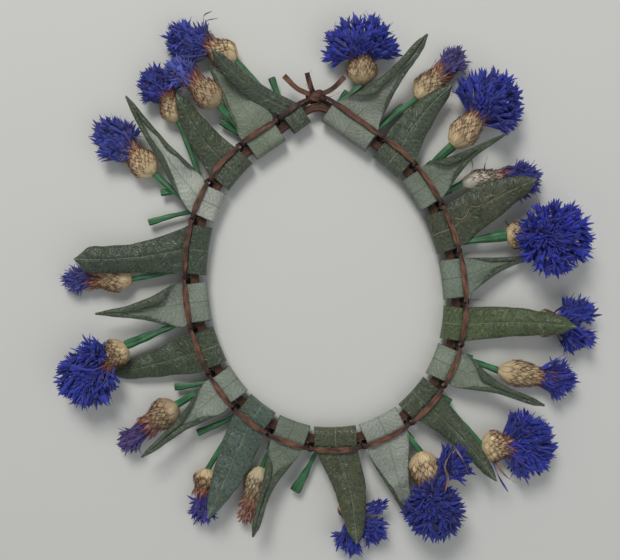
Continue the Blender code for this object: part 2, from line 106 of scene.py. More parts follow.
# ---- what each leaf looks like
# name, face shown, reach, sweep (degrees), tip height, bow (metres), then in millimetres the
# visible width near the strips, at mid-length and near the tip, and the width of the rolled
# band along the counter-clockwise and the clockwise edge, then the tint (sRGB bytes).
Leaf = namedtuple("Leaf", "name face reach sweep tip_height bow near middle late roll_ccw roll_cw tint")
LEAVES = [Leaf(*row) for row in (
    ("leaf_r01", "pale", 0.0425, -6.5, 0.0170, -0.0010, 16.5, 7.0, 4.0, 5.0, 1.8, (150, 155, 144)),
    ("leaf_r02", "green", 0.0345, 2.0, 0.0100, 0.0018, 15.5, 11.3, 5.6, 1.5, 2.5, (66, 78, 62)),
    ("leaf_r03", "pale", 0.0346, -1.0, 0.0205, 0.0012, 14.2, 4.8, 1.6, 4.0, 1.6, (138, 146, 132)),
    ("leaf_r04", "green", 0.0384, 10.0, 0.0165, 0.0017, 17.7, 15.2, 7.2, 1.5, 2.5, (63, 69, 48)),
    ("leaf_r05", "pale", 0.0368, 7.5, 0.0035, 0.0014, 12.9, 4.6, 1.8, 1.6, 2.6, (134, 145, 130)),
    ("leaf_r06", "green", 0.0444, 6.5, 0.0160, 0.0013, 13.8, 11.6, 6.8, 2.0, 2.0, (76, 91, 54)),
    ("leaf_r07", "pale", 0.0399, 0.5, 0.0130, -0.0008, 13.7, 4.6, 2.6, 4.4, 1.6, (146, 156, 140)),
    ("leaf_r08", "green", 0.0402, -5.5, 0.0150, 0.0014, 12.6, 8.6, 4.4, 2.5, 2.5, (68, 78, 58)),
    # leaf_r09's tint is raised as painted light, making up for the shade on its downward slope
    ("leaf_r09", "pale", 0.0423, -8.0, 0.0060, -0.0010, 17.9, 9.4, 3.0, 0.8, 1.2, (172, 178, 168)),
    ("leaf_r10", "green", 0.0386, 10.5, 0.0150, 0.0020, 16.4, 12.4, 6.4, 1.5, 2.0, (72, 79, 55)),
    ("leaf_l10", "pale", 0.0408, -1.0, 0.0130, -0.0013, 12.4, 4.6, 3.0, 3.4, 3.0, (134, 144, 130)),
    ("leaf_l09", "green", 0.0420, 13.5, 0.0145, 0.0002, 15.6, 13.6, 5.9, 1.5, 2.0, (78, 96, 87)),
    ("leaf_l08", "pale", 0.0415, 3.0, 0.0130, 0.0003, 14.1, 5.6, 2.4, 2.4, 2.2, (156, 165, 152)),
    ("leaf_l07", "green", 0.0388, -6.5, 0.0045, 0.0003, 16.3, 11.3, 6.3, 1.5, 2.0, (62, 74, 54)),
    ("leaf_l06", "pale", 0.0374, -1.5, 0.0120, 0.0007, 17.6, 7.6, 2.2, 1.6, 4.2, (146, 154, 142)),
    ("leaf_l05", "green", 0.0456, 12.5, 0.0155, 0.0017, 17.7, 11.9, 9.4, 1.5, 2.5, (55, 70, 53)),
    ("leaf_l04", "pale", 0.0508, -31.0, 0.0140, 0.0011, 14.5, 8.2, 3.4, 3.0, 1.8, (192, 196, 186)),
    ("leaf_l03", "green", 0.0331, -13.5, 0.0140, 0.0017, 14.3, 11.2, 6.0, 2.0, 2.0, (66, 76, 56)),
    ("leaf_l02", "pale", 0.0345, 2.5, 0.0065, -0.0010, 16.0, 11.1, 3.9, 1.4, 0.9, (140, 149, 132)),
    ("leaf_l01", "green", 0.0383, 18.5, 0.0180, 0.0026, 8.6, 7.8, 5.0, 1.5, 1.5, (64, 76, 62)),
)]
GREEN_CAMBER = 0.0016  # how far a green leaf's edges bend back
ROLL_PRESS = 0.62  # a rolled edge is flatter than it is wide
CURL = {"pale": 4.4, "green": 1.9}  # radians that a leaf's edges curl over
RIB_WIDTH = 0.00055
RIB_RISE = {"pale": 0.00030, "green": -0.00045}  # the midrib stands out below and is sunk above
WAVE = (0.00042, 0.013)  # height and length
RIPPLE = (0.00012, 0.0045)
CRIMP = (0.00016, 0.0040)  # where the strips squeeze a leaf
PATTERN_SHIFT = 1.7  # centimetres that the veins shift from leaf to leaf
TIP_WIDTH = 0.0006
LEAST_HALF_WIDTH = 0.00012
SHEET_THICKNESS = 0.00034

# ---- what each flower looks like
# number, gap, hooked side, neck (out, counter-clockwise, up), aim and rise (degrees), cup
# length and radius, bloom radius and length, cut end (out, counter-clockwise), stem radius at
# the neck, then the bloom: outer and inner florets, fan (degrees either side of the head's
# line, 180 for a bloom that faces the viewer), where its middle sits (share of the bloom's
# length), and the tint. The bloom's radius and length are the look's own: some differ from the
# CAD's plain bloom.
BLUE = (44, 56, 164)
Flower = namedtuple("Flower", "number gap side neck aim rise cup_length cup_radius radius length cut_end "
                    "neck_radius outer inner fan centre_share tint")
FLOWERS = [Flower(*row) for row in (
    ("01", 0, -1, (0.0136, -0.0077, 0.0058), 38, 6, 0.0110, 0.0058, 0.0148, 0.0160, (0.0080, -0.0040),
     0.0012, 26, 34, 112, 0.18, BLUE),
    ("02", 1, 1, (0.0225, -0.0014, 0.0042), -6, 0, 0.0130, 0.0055, 0.0075, 0.0140, (0.0165, 0.0012),
     0.0011, 9, 10, 45, 0.10, (84, 74, 138)),
    ("03", 2, -1, (0.0168, -0.0042, 0.0080), 8, 6, 0.0150, 0.0055, 0.0145, 0.0200, (0.0070, -0.0040),
     0.0019, 26, 26, 100, 0.30, BLUE),
    ("04", 3, 1, (0.0125, 0.0040, 0.0050), -18, 2, 0.0150, 0.0040, 0.0085, 0.0165, (0.0070, 0.0040),
     0.0012, 16, 12, 60, 0.15, (56, 60, 150)),
    ("05", 4, 1, (0.0208, 0.0024, 0.0070), -15, 10, 0.0080, 0.0050, 0.0146, 0.0270, (0.0070, 0.0040),
     0.0022, 40, 40, 180, 0.42, (40, 52, 172)),
    ("06", 5, -1, (0.0290, -0.0084, 0.0055), -3, 0, 0.0090, 0.0050, 0.0110, 0.0185, (0.0070, -0.0040),
     0.0012, 24, 16, 85, 0.20, BLUE),
    ("07", 6, -1, (0.0186, -0.0057, 0.0055), 7, 2, 0.0170, 0.0050, 0.0080, 0.0140, (0.0070, -0.0040),
     0.0013, 20, 16, 62, 0.10, (46, 54, 160)),
    ("08", 7, -1, (0.0274, -0.0123, 0.0060), 35, 4, 0.0095, 0.0060, 0.0130, 0.0200, (0.0070, -0.0040),
     0.0013, 32, 26, 100, 0.30, (44, 56, 166)),
    ("09", 8, -1, (0.0125, -0.0038, 0.0070), -25, 12, 0.0130, 0.0060, 0.0115, 0.0210, (0.0070, -0.0040),
     0.0013, 40, 36, 180, 0.48, (38, 50, 150)),
    ("10", 10, 1, (0.0190, 0.0185, 0.0050), 32, 2, 0.0080, 0.0045, 0.0105, 0.0160, (0.0197, -0.0030),
     0.0012, 22, 14, 85, 0.38, BLUE),
    ("11", 11, 1, (0.0143, 0.0048, 0.0050), 11, 0, 0.0130, 0.0050, 0.0050, 0.0110, (0.0070, 0.0040),
     0.0012, 6, 16, 42, 0.10, (156, 116, 100)),
    ("12", 12, 1, (0.0263, 0.0108, 0.0050), 34, 0, 0.0080, 0.0045, 0.0060, 0.0140, (0.0190, -0.0030),
     0.0011, 9, 10, 50, 0.10, (58, 56, 140)),
    ("13", 13, 1, (0.0185, 0.0049, 0.0055), 7, 2, 0.0120, 0.0060, 0.0060, 0.0170, (0.0160, -0.0020),
     0.0016, 8, 12, 45, 0.05, (80, 66, 128)),
    ("14", 14, -1, (0.0282, -0.0003, 0.0075), 25, 8, 0.0090, 0.0055, 0.0112, 0.0230, (0.0070, -0.0040),
     0.0018, 26, 22, 118, 0.52, (46, 58, 166)),
    ("15", 15, -1, (0.0228, 0.0000, 0.0050), 0, 0, 0.0130, 0.0048, 0.0060, 0.0150, (0.0070, -0.0040),
     0.0011, 13, 10, 50, 0.10, (70, 74, 150)),
    ("16", 16, -1, (0.0209, -0.0142, 0.0056), -29, 2, 0.0115, 0.0055, 0.0092, 0.0190, (0.0179, 0.0060),
     0.0012, 24, 24, 75, 0.15, (60, 70, 160)),
    ("17", 17, 1, (0.0247, -0.0146, 0.0050), -31, 2, 0.0095, 0.0050, 0.0078, 0.0150, (0.0150, 0.0150),
     0.0012, 24, 16, 75, 0.15, (50, 60, 158)),
    ("18", 18, -1, (0.0187, -0.0043, 0.0075), 6, 14, 0.0120, 0.0055, 0.0062, 0.0140, (0.0136, -0.0006),
     0.0012, 14, 16, 65, 0.15, (76, 88, 176)),
    ("19", 19, -1, (0.0308, 0.0002, 0.0050), 26, 0, 0.0110, 0.0055, 0.0095, 0.0195, (0.0165, -0.0080),
     0.0012, 20, 16, 75, 0.20, (56, 66, 160)),
)]
FUSED_FLOWERS = ("06", "10")
BLOOM_SHIFT = {  # sideways
    "04": -0.0023, "05": -0.0012, "12": 0.0016, "14": 0.0004, "16": 0.0010, "17": 0.0017,
    "18": 0.0014, "19": 0.0035,
}
SPLIT_BLOOMS = {"06": 24, "10": 26}  # a leaf tip lies over their middle; degrees left open
OUTER_CROWDING = 2.2  # florets built for each one that the table counts
INNER_CROWDING = 2.0
OUTER_FLORET = (0.0050, 0.0028)  # lobe length and flare
INNER_FLORET = (0.0040, 0.0018)
TUFT_FLORET = (0.0046, 0.0024)
FLORET_PRESS = 0.75  # a floret's height as a share of its width
FLORET_SHEET = 0.00007
WARM_SHARE = 0.15  # of the florets lean towards violet
WARM_SHIFT = (1.25, 1.0, 0.9)
SCALE_ROWS = 10
SCALES_PER_ROW = 13
SCALE_SHEET = 0.00010

STRAW = (208, 184, 144)
BRACT_BROWN = (104, 68, 48)
BRACT_RED = (146, 84, 70)
CUP_TINTS = {"04": (206, 200, 182), "11": (206, 192, 156), "13": (176, 156, 124)}
EMERALD = (60, 112, 74)
PITH = (176, 190, 160)
STRIP_DARK = (54, 35, 31)
STRIP_TAN = (114, 77, 60)
CORE_TAN = (84, 55, 42)
SCAR_TAN = (156, 136, 98)
SCAR_DARK = (108, 88, 60)
THROAT = (150, 112, 112)
STUB_SPREAD = {"10": 1.9}  # how much wider a flattened cut end is
STUB_SPREAD_USUAL = 1.25
STUB_SWELL = 0.0002  # how much thicker a stem is at its cut end
FLOOR_CLEARANCE = 0.00012
BARK_THICKNESS = STRIP_THICKNESS * 0.65
KNOT_LOOP = (0.0022, 0.0008)  # width and thickness
KNOT_TAIL = (0.0021, 0.0005)
BARK_CREASE = 35  # degrees between faces that stay sharp
HAIR_RADIUS = 0.00011

# Loose strands: the flower they belong to, width, tint, and points in the head's own axes, in
# millimetres.
STRAYS = (
    ("07", 1.6, (48, 58, 160), ((16.0, 3.0, 2), (20.0, 7.0, 4), (27.0, 12.5, 3))),
    ("07", 1.3, (60, 70, 170), ((17.0, 3.5, 3), (21.5, 6.5, 5), (25.5, 10.0, 5))),
    ("08", 1.8, (46, 56, 158), ((4.0, -5.8, -1), (6.2, -12.5, 2), (9.5, -18.5, 3))),
    ("08", 1.4, (142, 106, 82), ((4.5, -6.0, -1), (8.5, -11.5, 3), (13.0, -15.0, 2))),
    ("09", 1.6, (150, 112, 86), ((0.0, 13.5, 6), (6.5, 7.5, 9), (12.0, 7.5, 8), (17.5, 5.0, 6))),
    ("09", 1.2, (160, 124, 96), ((1.0, 13.5, 6), (6.0, 15.0, 8), (12.0, 16.5, 5))),
    ("19", 0.9, (52, 48, 92), ((12.0, -2.0, 3), (17.0, -6.5, 6), (14.0, -11.0, 4))),
    ("19", 0.9, (46, 44, 84), ((13.0, -1.0, 3), (19.0, -8.0, 5), (18.0, -13.0, 2))),
    ("04", 0.8, (44, 52, 38), ((3.0, 2.0, 1), (4.5, 6.0, 3), (4.0, 10.0, 4))),
    ("04", 0.8, (52, 56, 42), ((9.0, 2.0, 1), (9.5, 5.5, 3), (11.0, 9.0, 4))),
    ("05", 0.8, (54, 58, 40), ((1.0, 3.5, 1), (-0.5, 6.0, 1), (1.2, 8.8, -1))),
)
# Dry tan cracks: for a leaf, rows of (share of the front blade, share of the way from the
# clockwise edge to the counter-clockwise one).
SCARS = {
    "leaf_r04": (
        (0.07, 0.56), (0.16, 0.51), (0.27, 0.57), (0.36, 0.52), (0.48, 0.58), (0.57, 0.53), (0.68, 0.56),
    ),
}
# A second, smaller tuft beside the main bloom: forward, sideways, up, radius and florets.
SIDE_TUFTS = {
    "09": (0.0075, 0.0112, 0.0020, 0.0075, 26),
    "10": (0.0078, 0.0111, 0.0020, 0.0036, 8),
    "14": (0.0112, -0.0052, 0.0035, 0.0055, 16),
}

# ---- the stage
FLOOR_TINT = (216, 216, 212)
FLOOR_HALF = 6.0
FLOOR_DROP = 0.0002  # below the resting side
SKY_TINT = (0.93, 0.97, 1.0, 1.0)
SKY_STRENGTH = 0.26
LAMPS = (  # name, place, size, watts, tint
    ("key", (-0.25, 0.75, 0.95), 0.45, 8.3, (1.0, 0.985, 0.95)),
    ("fill", (0.55, -0.45, 1.0), 1.2, 3.0, (0.95, 0.98, 1.0)),
)
CAMERA_PLACE = (-0.00588, -0.00252, 0.330)
CAMERA_LENS = 45.2

UP = np.array((0.0, 0.0, 1.0))


# ---- small vector helpers
def linear(tint):
    """Linear colour of an sRGB colour given in bytes."""
    share = np.asarray(tint, float) / 255.0
    return np.where(share <= 0.04045, share / 12.92, ((share + 0.055) / 1.055) ** 2.4)


def unit(vector):
    vector = np.asarray(vector, float)
    return vector / np.linalg.norm(vector, axis=-1, keepdims=True)


def smoothstep(low, high, value):
    share = np.clip((value - low) / (high - low), 0.0, 1.0)
    return share * share * (3 - 2 * share)


def turns(sides):
    """The angles of a section's corners."""
    return 2 * math.pi * np.arange(sides) / sides


def stacked(*arrays):
    """Arrays, stretched to one shape, as the last axis of one array."""
    return np.stack(np.broadcast_arrays(*arrays), axis=-1)


def run_along(path):
    """The distance along a path to each of its points."""
    return np.concatenate([[0], np.cumsum(np.linalg.norm(np.diff(path, axis=0), axis=1))])


def squareness(turn, power):
    """What turns a circle into a rounded square at each angle."""
    return (np.abs(np.cos(turn)) ** power + np.abs(np.sin(turn)) ** power) ** (-1 / power)


def waves(rng, places, wavelength, count=7):
    """Smooth seeded noise, about -1 to 1, at an array of places in two or three dimensions."""
    places = np.asarray(places, float)
    total = np.zeros(places.shape[:-1])
    for _ in range(count):
        direction = unit(rng.normal(size=places.shape[-1]))
        frequency = 2 * math.pi / wavelength * rng.uniform(0.6, 1.6)
        total += np.sin(places @ direction * frequency + rng.uniform(0, 2 * math.pi))
    return total / math.sqrt(count)


def smooth_path(knots, steps):
    """Points on a Catmull-Rom curve through rows of numbers."""
    knots = np.asarray(knots, float)
    padded = np.vstack([2 * knots[0] - knots[1], knots, 2 * knots[-1] - knots[-2]])
    t = (np.arange(steps) / steps)[:, None]
    points = []
    for before, start, end, after in zip(padded, padded[1:], padded[2:], padded[3:]):
        points.append(
            0.5 * (2 * start + (end - before) * t
                   + (2 * before - 5 * start + 4 * end - after) * t**2
                   + (3 * start - before - 3 * end + after) * t**3)
        )
    return np.vstack([*points, knots[-1:]])


# ---- the ring line, as in the CAD
def ring_point(angle, outward=0.0):
    """A point on the ring line, or at a distance outwards from it."""
    from_long_axis = math.radians(angle - RING_LONG_AXIS)
    from_peak = (angle - PEAK_ANGLE + 180.0) % 360.0 - 180.0
    radius = RING_RADIUS + RING_OVAL * math.cos(2 * from_long_axis)
    radius += PEAK_RISE * math.exp(-((from_peak / PEAK_SPREAD) ** 2))
    turn = math.radians(angle)
    radius -= RING_DROP * math.sin(turn)
    point = np.array((math.cos(turn), math.sin(turn), 0.0)) * radius
    if outward:
        point = point + ring_frame(angle)[1] * outward
    return point


def ring_frame(angle):
    """A point on the ring line, its outward and its counter-clockwise direction."""
    step = 0.05
    along = unit(ring_point(angle + step) - ring_point(angle - step))
    return ring_point(angle), np.array((along[1], -along[0], 0.0)), along


def leaf_frame(index):
    """A leaf's frame on the chord between its gaps, the chord's length and the ring's bulge."""
    first = ring_point(GAP_ANGLES[index])
    second = ring_point(GAP_ANGLES[index + 1])
    middle = (first + second) / 2
    along = unit(first - second)
    outward = np.array((along[1], -along[0], 0.0))
    if outward @ middle < 0:
        outward = -outward
    crest = ring_point((GAP_ANGLES[index] + GAP_ANGLES[index + 1]) / 2)
    return (middle, outward, along), np.linalg.norm(first - second), (crest - middle) @ outward


def gap_frame(gap):
    """A gap's frame, turned halfway between the leaves beside it."""
    outward = np.zeros(3)
    for index in (gap - 1, gap):
        if 0 <= index < len(LEAVES):
            outward = outward + leaf_frame(index)[0][1]
    outward = unit(outward)
    return ring_point(GAP_ANGLES[gap]), outward, np.array((-outward[1], outward[0], 0.0))


def at(place, outward, along, height):
    """Points given outwards, counter-clockwise and up in a frame on the ring."""
    point, out_direction, along_direction = place
    outward, along, height = np.broadcast_arrays(outward, along, height)
    return (point + outward[..., None] * out_direction + along[..., None] * along_direction
            + height[..., None] * UP)


# (out, height from the core's middle) round a leaf's fold
FOLD_PROFILE = (
    (-0.0020, 0.00325), (-0.0056, 0.00325), (-0.0075, 0.0026), (-0.0083, 0.0013), (-0.00845, 0.0),
)
BACK_NARROWING = {"green": 0.9, "pale": 1.4}  # how fast the back blade comes to its point
FOLD_SHARE = 0.96  # a leaf's width at its fold, as a share of its width at the strips


def round_core(distance):
    """(out, height) of a bend that passes behind and round the core at a distance."""
    stand_off = distance / math.cos(math.radians(22.5))
    outer_side = -CORE_INSET + CORE_WIDTH / 2
    half_height = CORE_THICKNESS / 2 + stand_off
    bend = [(outer_side, CORE_LEVEL - half_height)]
    for side, turns in ((-1, (270, 225, 180)), (1, (180, 135, 90))):
        for turn in turns:
            angle = math.radians(turn)
            out = -CORE_INSET - CORE_WIDTH / 2 + stand_off * math.cos(angle)
            height = side * CORE_THICKNESS / 2 + stand_off * math.sin(angle)
            bend.append((out, CORE_LEVEL + height))
    return [*bend, (outer_side, CORE_LEVEL + half_height)]


# ---- mesh building
class Shape:
    """Vertices, faces, tints and surface coordinates gathered into one mesh.

    A shape with an origin and axes takes its points in those axes."""

    def __init__(self, origin=None, axes=None):
        self.origin, self.axes = origin, axes
        self.points, self.tints, self.places, self.faces = [], [], [], []
        self.count = 0

    def grid(self, points, tints, places, closed=False):
        """A patch of rows x columns; closed joins the last column to the first."""
        rows, columns = points.shape[:2]
        index = self.count + np.arange(rows * columns).reshape(rows, columns)
        right = np.roll(index, -1, axis=1) if closed else index[:, 1:]
        left = index if closed else index[:, :-1]
        quads = np.stack([left[:-1], right[:-1], right[1:], left[1:]], axis=-1)
        self.faces += quads.reshape(-1, 4).tolist()
        self._add(points, tints, places)
        return index

    def tube(self, points, tints, places):
        """A closed patch whose two ends are filled."""
        index = self.grid(points, tints, places, closed=True)
        self.cap(index[0])
        self.cap(index[-1], flip=True)

    def cap(self, ring, flip=False):
        ring = [int(i) for i in ring]
        self.faces.append(ring[::-1] if flip else ring)

    def _add(self, points, tints, places):
        if self.axes is not None:
            points = self.origin + points @ self.axes
        points[..., 2] = np.maximum(points[..., 2], FLOOR_CLEARANCE)
        shape = points.shape[:2]
        self.points.append(points.reshape(-1, 3))
        self.tints.append(np.broadcast_to(tints, (*shape, 3)).reshape(-1, 3))
        self.places.append(np.broadcast_to(places, (*shape, 2)).reshape(-1, 2))
        self.count += shape[0] * shape[1]

    def build(self, name, *materials, far_tint=None, crease=None):
        mesh = bpy.data.meshes.new(name)
        points = np.vstack(self.points)
        mesh.from_pydata(points.tolist(), [], self.faces)
        tints = np.hstack([np.clip(np.vstack(self.tints), 0, 1), np.ones((len(points), 1))])
        near = mesh.color_attributes.new("tint", "FLOAT_COLOR", "POINT")
        near.data.foreach_set("color", tints.ravel())
        if far_tint is not None:
            tints[:, :3] = tints[:, :3].mean(axis=1, keepdims=True) / tints[:, :3].mean() * far_tint
            far = mesh.color_attributes.new("far_tint", "FLOAT_COLOR", "POINT")
            far.data.foreach_set("color", tints.ravel())
        corners = np.empty(len(mesh.loops), np.int32)
        mesh.loops.foreach_get("vertex_index", corners)
        places = np.vstack(self.places)[corners]
        mesh.uv_layers.new(name="surface").data.foreach_set("uv", places.ravel())
        mesh.shade_smooth()
        if crease:
            mesh.set_sharp_from_angle(angle=math.radians(crease))
        for material in materials:
            mesh.materials.append(material)
        piece = bpy.data.objects.new(name, mesh)
        bpy.context.scene.collection.objects.link(piece)
        return piece


def thicken(piece, thickness, other_side=0):
    """Gives a sheet its thickness; the far side takes the material that many slots on."""
    solidify = piece.modifiers.new("thickness", "SOLIDIFY")
    solidify.thickness = thickness
    solidify.offset = 0.0
    solidify.material_offset = other_side


def place_piece(piece, body, slot, *nodes):
    """Attaches a finished piece to the body it rides on and hides the CAD nodes it stands for; slot is not
    used.
    """
    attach(piece, body)
    if nodes:
        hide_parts(*nodes)


def side_vectors(path):
    """For each point of a path: its direction, a level sideways vector and an upward one."""
    direction = unit(np.gradient(path, axis=0))
    side = unit(np.cross(direction, UP) + 1e-9)
    return direction, side, np.cross(side, direction)


def round_section(path, radius, sides, press=1.0):
    """Rings of a tube round a path; radius may change with the ring and with the angle."""
    _, side, up = side_vectors(path)
    turn = turns(sides)
    radius = np.broadcast_to(radius, (len(path), sides))
    return (path[:, None] + side[:, None] * (radius * np.cos(turn))[..., None]
            + up[:, None] * (radius * np.sin(turn) * press)[..., None])


# ---- materials
def put(tree, kind, inputs, **settings):
    """A shader node with its settings, and with its inputs linked or set."""
    node = tree.nodes.new("ShaderNode" + kind)
    for name, value in settings.items():
        setattr(node, name, value)
    for name, value in inputs.items():
        if isinstance(value, bpy.types.NodeSocket):
            tree.links.new(value, node.inputs[name])
        else:
            node.inputs[name].default_value = value
    return node


def mix(tree, kind, share, first, second):
    node = put(tree, "Mix", {0: share, 6: first, 7: second}, data_type="RGBA", blend_type=kind)
    return node.outputs[2]


def maths(tree, operation, *values):
    return put(tree, "Math", dict(enumerate(values)), operation=operation).outputs[0]


def noise(tree, place, scale, detail):
    return put(tree, "TexNoise", {"Vector": place, "Scale": scale, "Detail": detail}).outputs["Fac"]


def ranged(tree, value, low, high, first=0.0, last=1.0):
    """A value between low and high, mapped to first and last."""
    return put(tree, "MapRange", {0: value, 1: low, 2: high, 3: first, 4: last}).outputs[0]


def surface(name, roughness, specular=0.4, sheen=0.0, tint_name="tint"):
    """A material whose colour starts from one of the mesh's tints."""
    material = bpy.data.materials.new(name)
    material.use_nodes = True
    tree = material.node_tree
    shader = tree.nodes["Principled BSDF"]
    shader.inputs["Roughness"].default_value = roughness
    shader.inputs["Specular IOR Level"].default_value = specular
    if sheen:
        shader.inputs["Sheen Weight"].default_value = sheen
    tint = put(tree, "Attribute", {}, attribute_name=tint_name).outputs["Color"]
    place = put(tree, "UVMap", {}, uv_map="surface").outputs["UV"]
    return material, tree, shader, tint, place


def dress(tree, shader, colour, height, strength, distance):
    """Links a colour and a bump height to the shader."""
    bump = put(tree, "Bump", {"Strength": strength, "Distance": distance, "Height": height})
    tree.links.new(bump.outputs[0], shader.inputs["Normal"])
    tree.links.new(colour, shader.inputs["Base Color"])


VEIN_SPACING = 0.19  # centimetres between side veins


def leaf_material(name, tint_name, roughness, specular, vein_tint, vein_share, rib_share,
                  patch_tint, patch_share, mottle):
    """A leaf's face: feathered side veins, fine net, soft patches and mottling.

    The surface coordinates are centimetres across from the midrib and along the leaf."""
    material, tree, shader, tint, place = surface(name, roughness, specular, tint_name=tint_name)
    split = put(tree, "SeparateXYZ", {0: place})
    wander = noise(tree, place, 2.2, 3.0)
    across = maths(tree, "ABSOLUTE", split.outputs[0])
    sweep = maths(tree, "MULTIPLY", across, 0.75)
    run = maths(tree, "SUBTRACT", split.outputs[1], sweep)
    run = maths(tree, "ADD", run, maths(tree, "MULTIPLY", wander, 0.55))
    wave = maths(tree, "SINE", maths(tree, "MULTIPLY", run, 2 * math.pi / VEIN_SPACING))
    veins = ranged(tree, wave, 0.72, 1.0)
    net = put(tree, "TexVoronoi", {"Vector": place, "Scale": 16.0}, feature="DISTANCE_TO_EDGE").outputs[0]
    net = ranged(tree, net, 0.0, 0.10, 1.0, 0.0)
    rib = ranged(tree, across, 0.015, 0.045, 1.0, 0.0)
    lines = maths(tree, "MAXIMUM", maths(tree, "MULTIPLY", veins, 0.6), maths(tree, "MULTIPLY", net, 0.35))
    lines = maths(tree, "MAXIMUM", lines, maths(tree, "MULTIPLY", rib, rib_share))
    fine = noise(tree, place, 9.0, 6.0)
    speck = ranged(tree, fine, 0.3, 0.7, 1 - mottle, 1 + mottle)
    patch = put(tree, "TexNoise", {"Vector": place, "Scale": 1.3, "Detail": 2.0, "W": 3.0},
                noise_dimensions="4D").outputs["Fac"]
    patch = ranged(tree, patch, 0.5, 0.75, 0.0, patch_share)
    colour = mix(tree, "MULTIPLY", patch, tint, (*patch_tint, 1.0))
    colour = mix(tree, "MULTIPLY", 1.0, colour, speck)
    line_share = maths(tree, "MULTIPLY", lines, vein_share)
    colour = mix(tree, "MIX", line_share, colour, (*linear(vein_tint), 1.0))
    height = maths(tree, "ADD", maths(tree, "MULTIPLY", lines, -0.6), maths(tree, "MULTIPLY", fine, 0.6))
    dress(tree, shader, colour, height, 0.9, 0.0007)
    rough = ranged(tree, fine, 0.3, 0.7, roughness - 0.08, roughness + 0.1)
    tree.links.new(rough, shader.inputs["Roughness"])
    return material


def fibre_material(name, roughness, scale, contrast, sheen=0.0, specular=0.4):
    """Long fibres: streaks along the second surface coordinate."""
    material, tree, shader, tint, place = surface(name, roughness, specular, sheen)
    stretch = put(tree, "Mapping", {"Vector": place, "Scale": (scale, scale * 0.06, 1.0)}).outputs[0]
    streak = noise(tree, stretch, 1.0, 5.0)
    blotch = noise(tree, place, 3.5, 4.0)
    shade = ranged(tree, streak, 0.3, 0.7, 1 - contrast, 1 + contrast)
    soft = ranged(tree, blotch, 0.3, 0.7, 1 - contrast / 2, 1 + contrast / 2)
    colour = mix(tree, "MULTIPLY", 1.0, tint, shade)
    colour = mix(tree, "MULTIPLY", 1.0, colour, soft)
    dress(tree, shader, colour, streak, 0.6, 0.0004)
    return material


# roughness, specular, vein tint and share, midrib share, patch tint and share, mottling
UPPER_LOOK = (0.33, 0.75, (140, 154, 128), 0.42, 0.6, (1.30, 1.16, 0.68), 0.8, 0.52)
UNDER_LOOK = (0.70, 0.30, (98, 112, 90), 0.45, 1.0, (0.78, 0.84, 0.72), 0.8, 0.16)
LEAF_UPPER = leaf_material("leaf_upper", "tint", *UPPER_LOOK)
LEAF_UNDER = leaf_material("leaf_under", "tint", *UNDER_LOOK)
LEAF_UPPER_FAR = leaf_material("leaf_upper_far", "far_tint", *UPPER_LOOK)
LEAF_UNDER_FAR = leaf_material("leaf_under_far", "far_tint", *UNDER_LOOK)
STEM_SKIN = fibre_material("stem_skin", 0.42, 26.0, 0.40)
CUP_SCALE = fibre_material("cup_scale", 0.55, 42.0, 0.34)
PETAL = fibre_material("petal", 0.62, 24.0, 0.28, sheen=0.25)
BARK = fibre_material("bark_fibre", 0.68, 30.0, 0.50)
CORE_BARK = fibre_material("core_fibre", 0.72, 24.0, 0.45)


# ---- leaves
LEAF_UPPER_TINT = (70, 82, 64)
LEAF_UNDER_TINT = (140, 148, 134)


def leaf_knots(look, pitch):
    """Rows of (out, height, half width, front share, back share) from back tip to front tip."""
    reach = look.reach * math.cos(math.radians(look.sweep))
    full = (pitch - LEAF_GAP) / 2
    rows = []
    taper = BACK_NARROWING[look.face]
    for share in (1.0, 0.9, 0.65):
        half = full * max(1.0 - share, 0.02) ** taper
        rows.append((BACK_REACH * share, REST_LEVEL, half, 0.0, share))
    settled = BACK_SETTLE / BACK_REACH
    rows.append((BACK_SETTLE, REST_LEVEL, full * (1.0 - settled) ** taper, 0.0, settled))
    rows.append((0.0, CORE_LEVEL - WAIST_HALF_HEIGHT, full, 0.0, 0.0))
    for side, profile in ((-1, FOLD_PROFILE), (1, FOLD_PROFILE[-2::-1])):
        for out, height in profile:
            rows.append((out, CORE_LEVEL + side * height, full * FOLD_SHARE, 0.0, 0.0))
    waist = CORE_LEVEL + WAIST_HALF_HEIGHT
    rows.append((0.0, waist, full * 0.98, 0.0, 0.0))
    late = look.late / 1000
    widths = smooth_path([(0.0, full * 2), (0.12, look.near / 1000), (0.5, look.middle / 1000),
                          (0.86, late * 1.1), (0.95, late * 0.52), (1.0, TIP_WIDTH)], 12)
    for share in (0.07, 0.14, 0.22, 0.32, 0.42, 0.52, 0.62, 0.72, 0.82, 0.9, 0.96, 1.0):
        height = waist + (look.tip_height - waist) * share**1.3
        half = np.interp(share, widths[:, 0], widths[:, 1]) / 2
        rows.append((reach * share, height, half, share, 0.0))
    return np.array(rows), reach


def edge_roll(half, band, curl, steps):
    """(across, up, unrolled across) from the midrib to a rolled edge, one row per leaf row.

    The edge curls over by the given angle and covers about a band's width of the face."""
    radius = np.minimum(band / 2, half * 0.52)[:, None]
    angle_end = curl[:, None]
    reach = np.where(angle_end < math.pi / 2, np.sin(angle_end), 1.0) * radius
    flat = half[:, None] - reach
    share = np.linspace(0, 1, steps)[None, :]
    angle = share[:, 1:] * angle_end
    shrink = radius * (1 - 0.10 * angle / math.pi)
    across = np.hstack([flat * share, flat + shrink * np.sin(angle)])
    up = np.hstack([0 * share * radius, (radius - shrink * np.cos(angle)) * ROLL_PRESS])
    unrolled = np.hstack([flat * share, flat + radius * angle])
    return across, up, unrolled


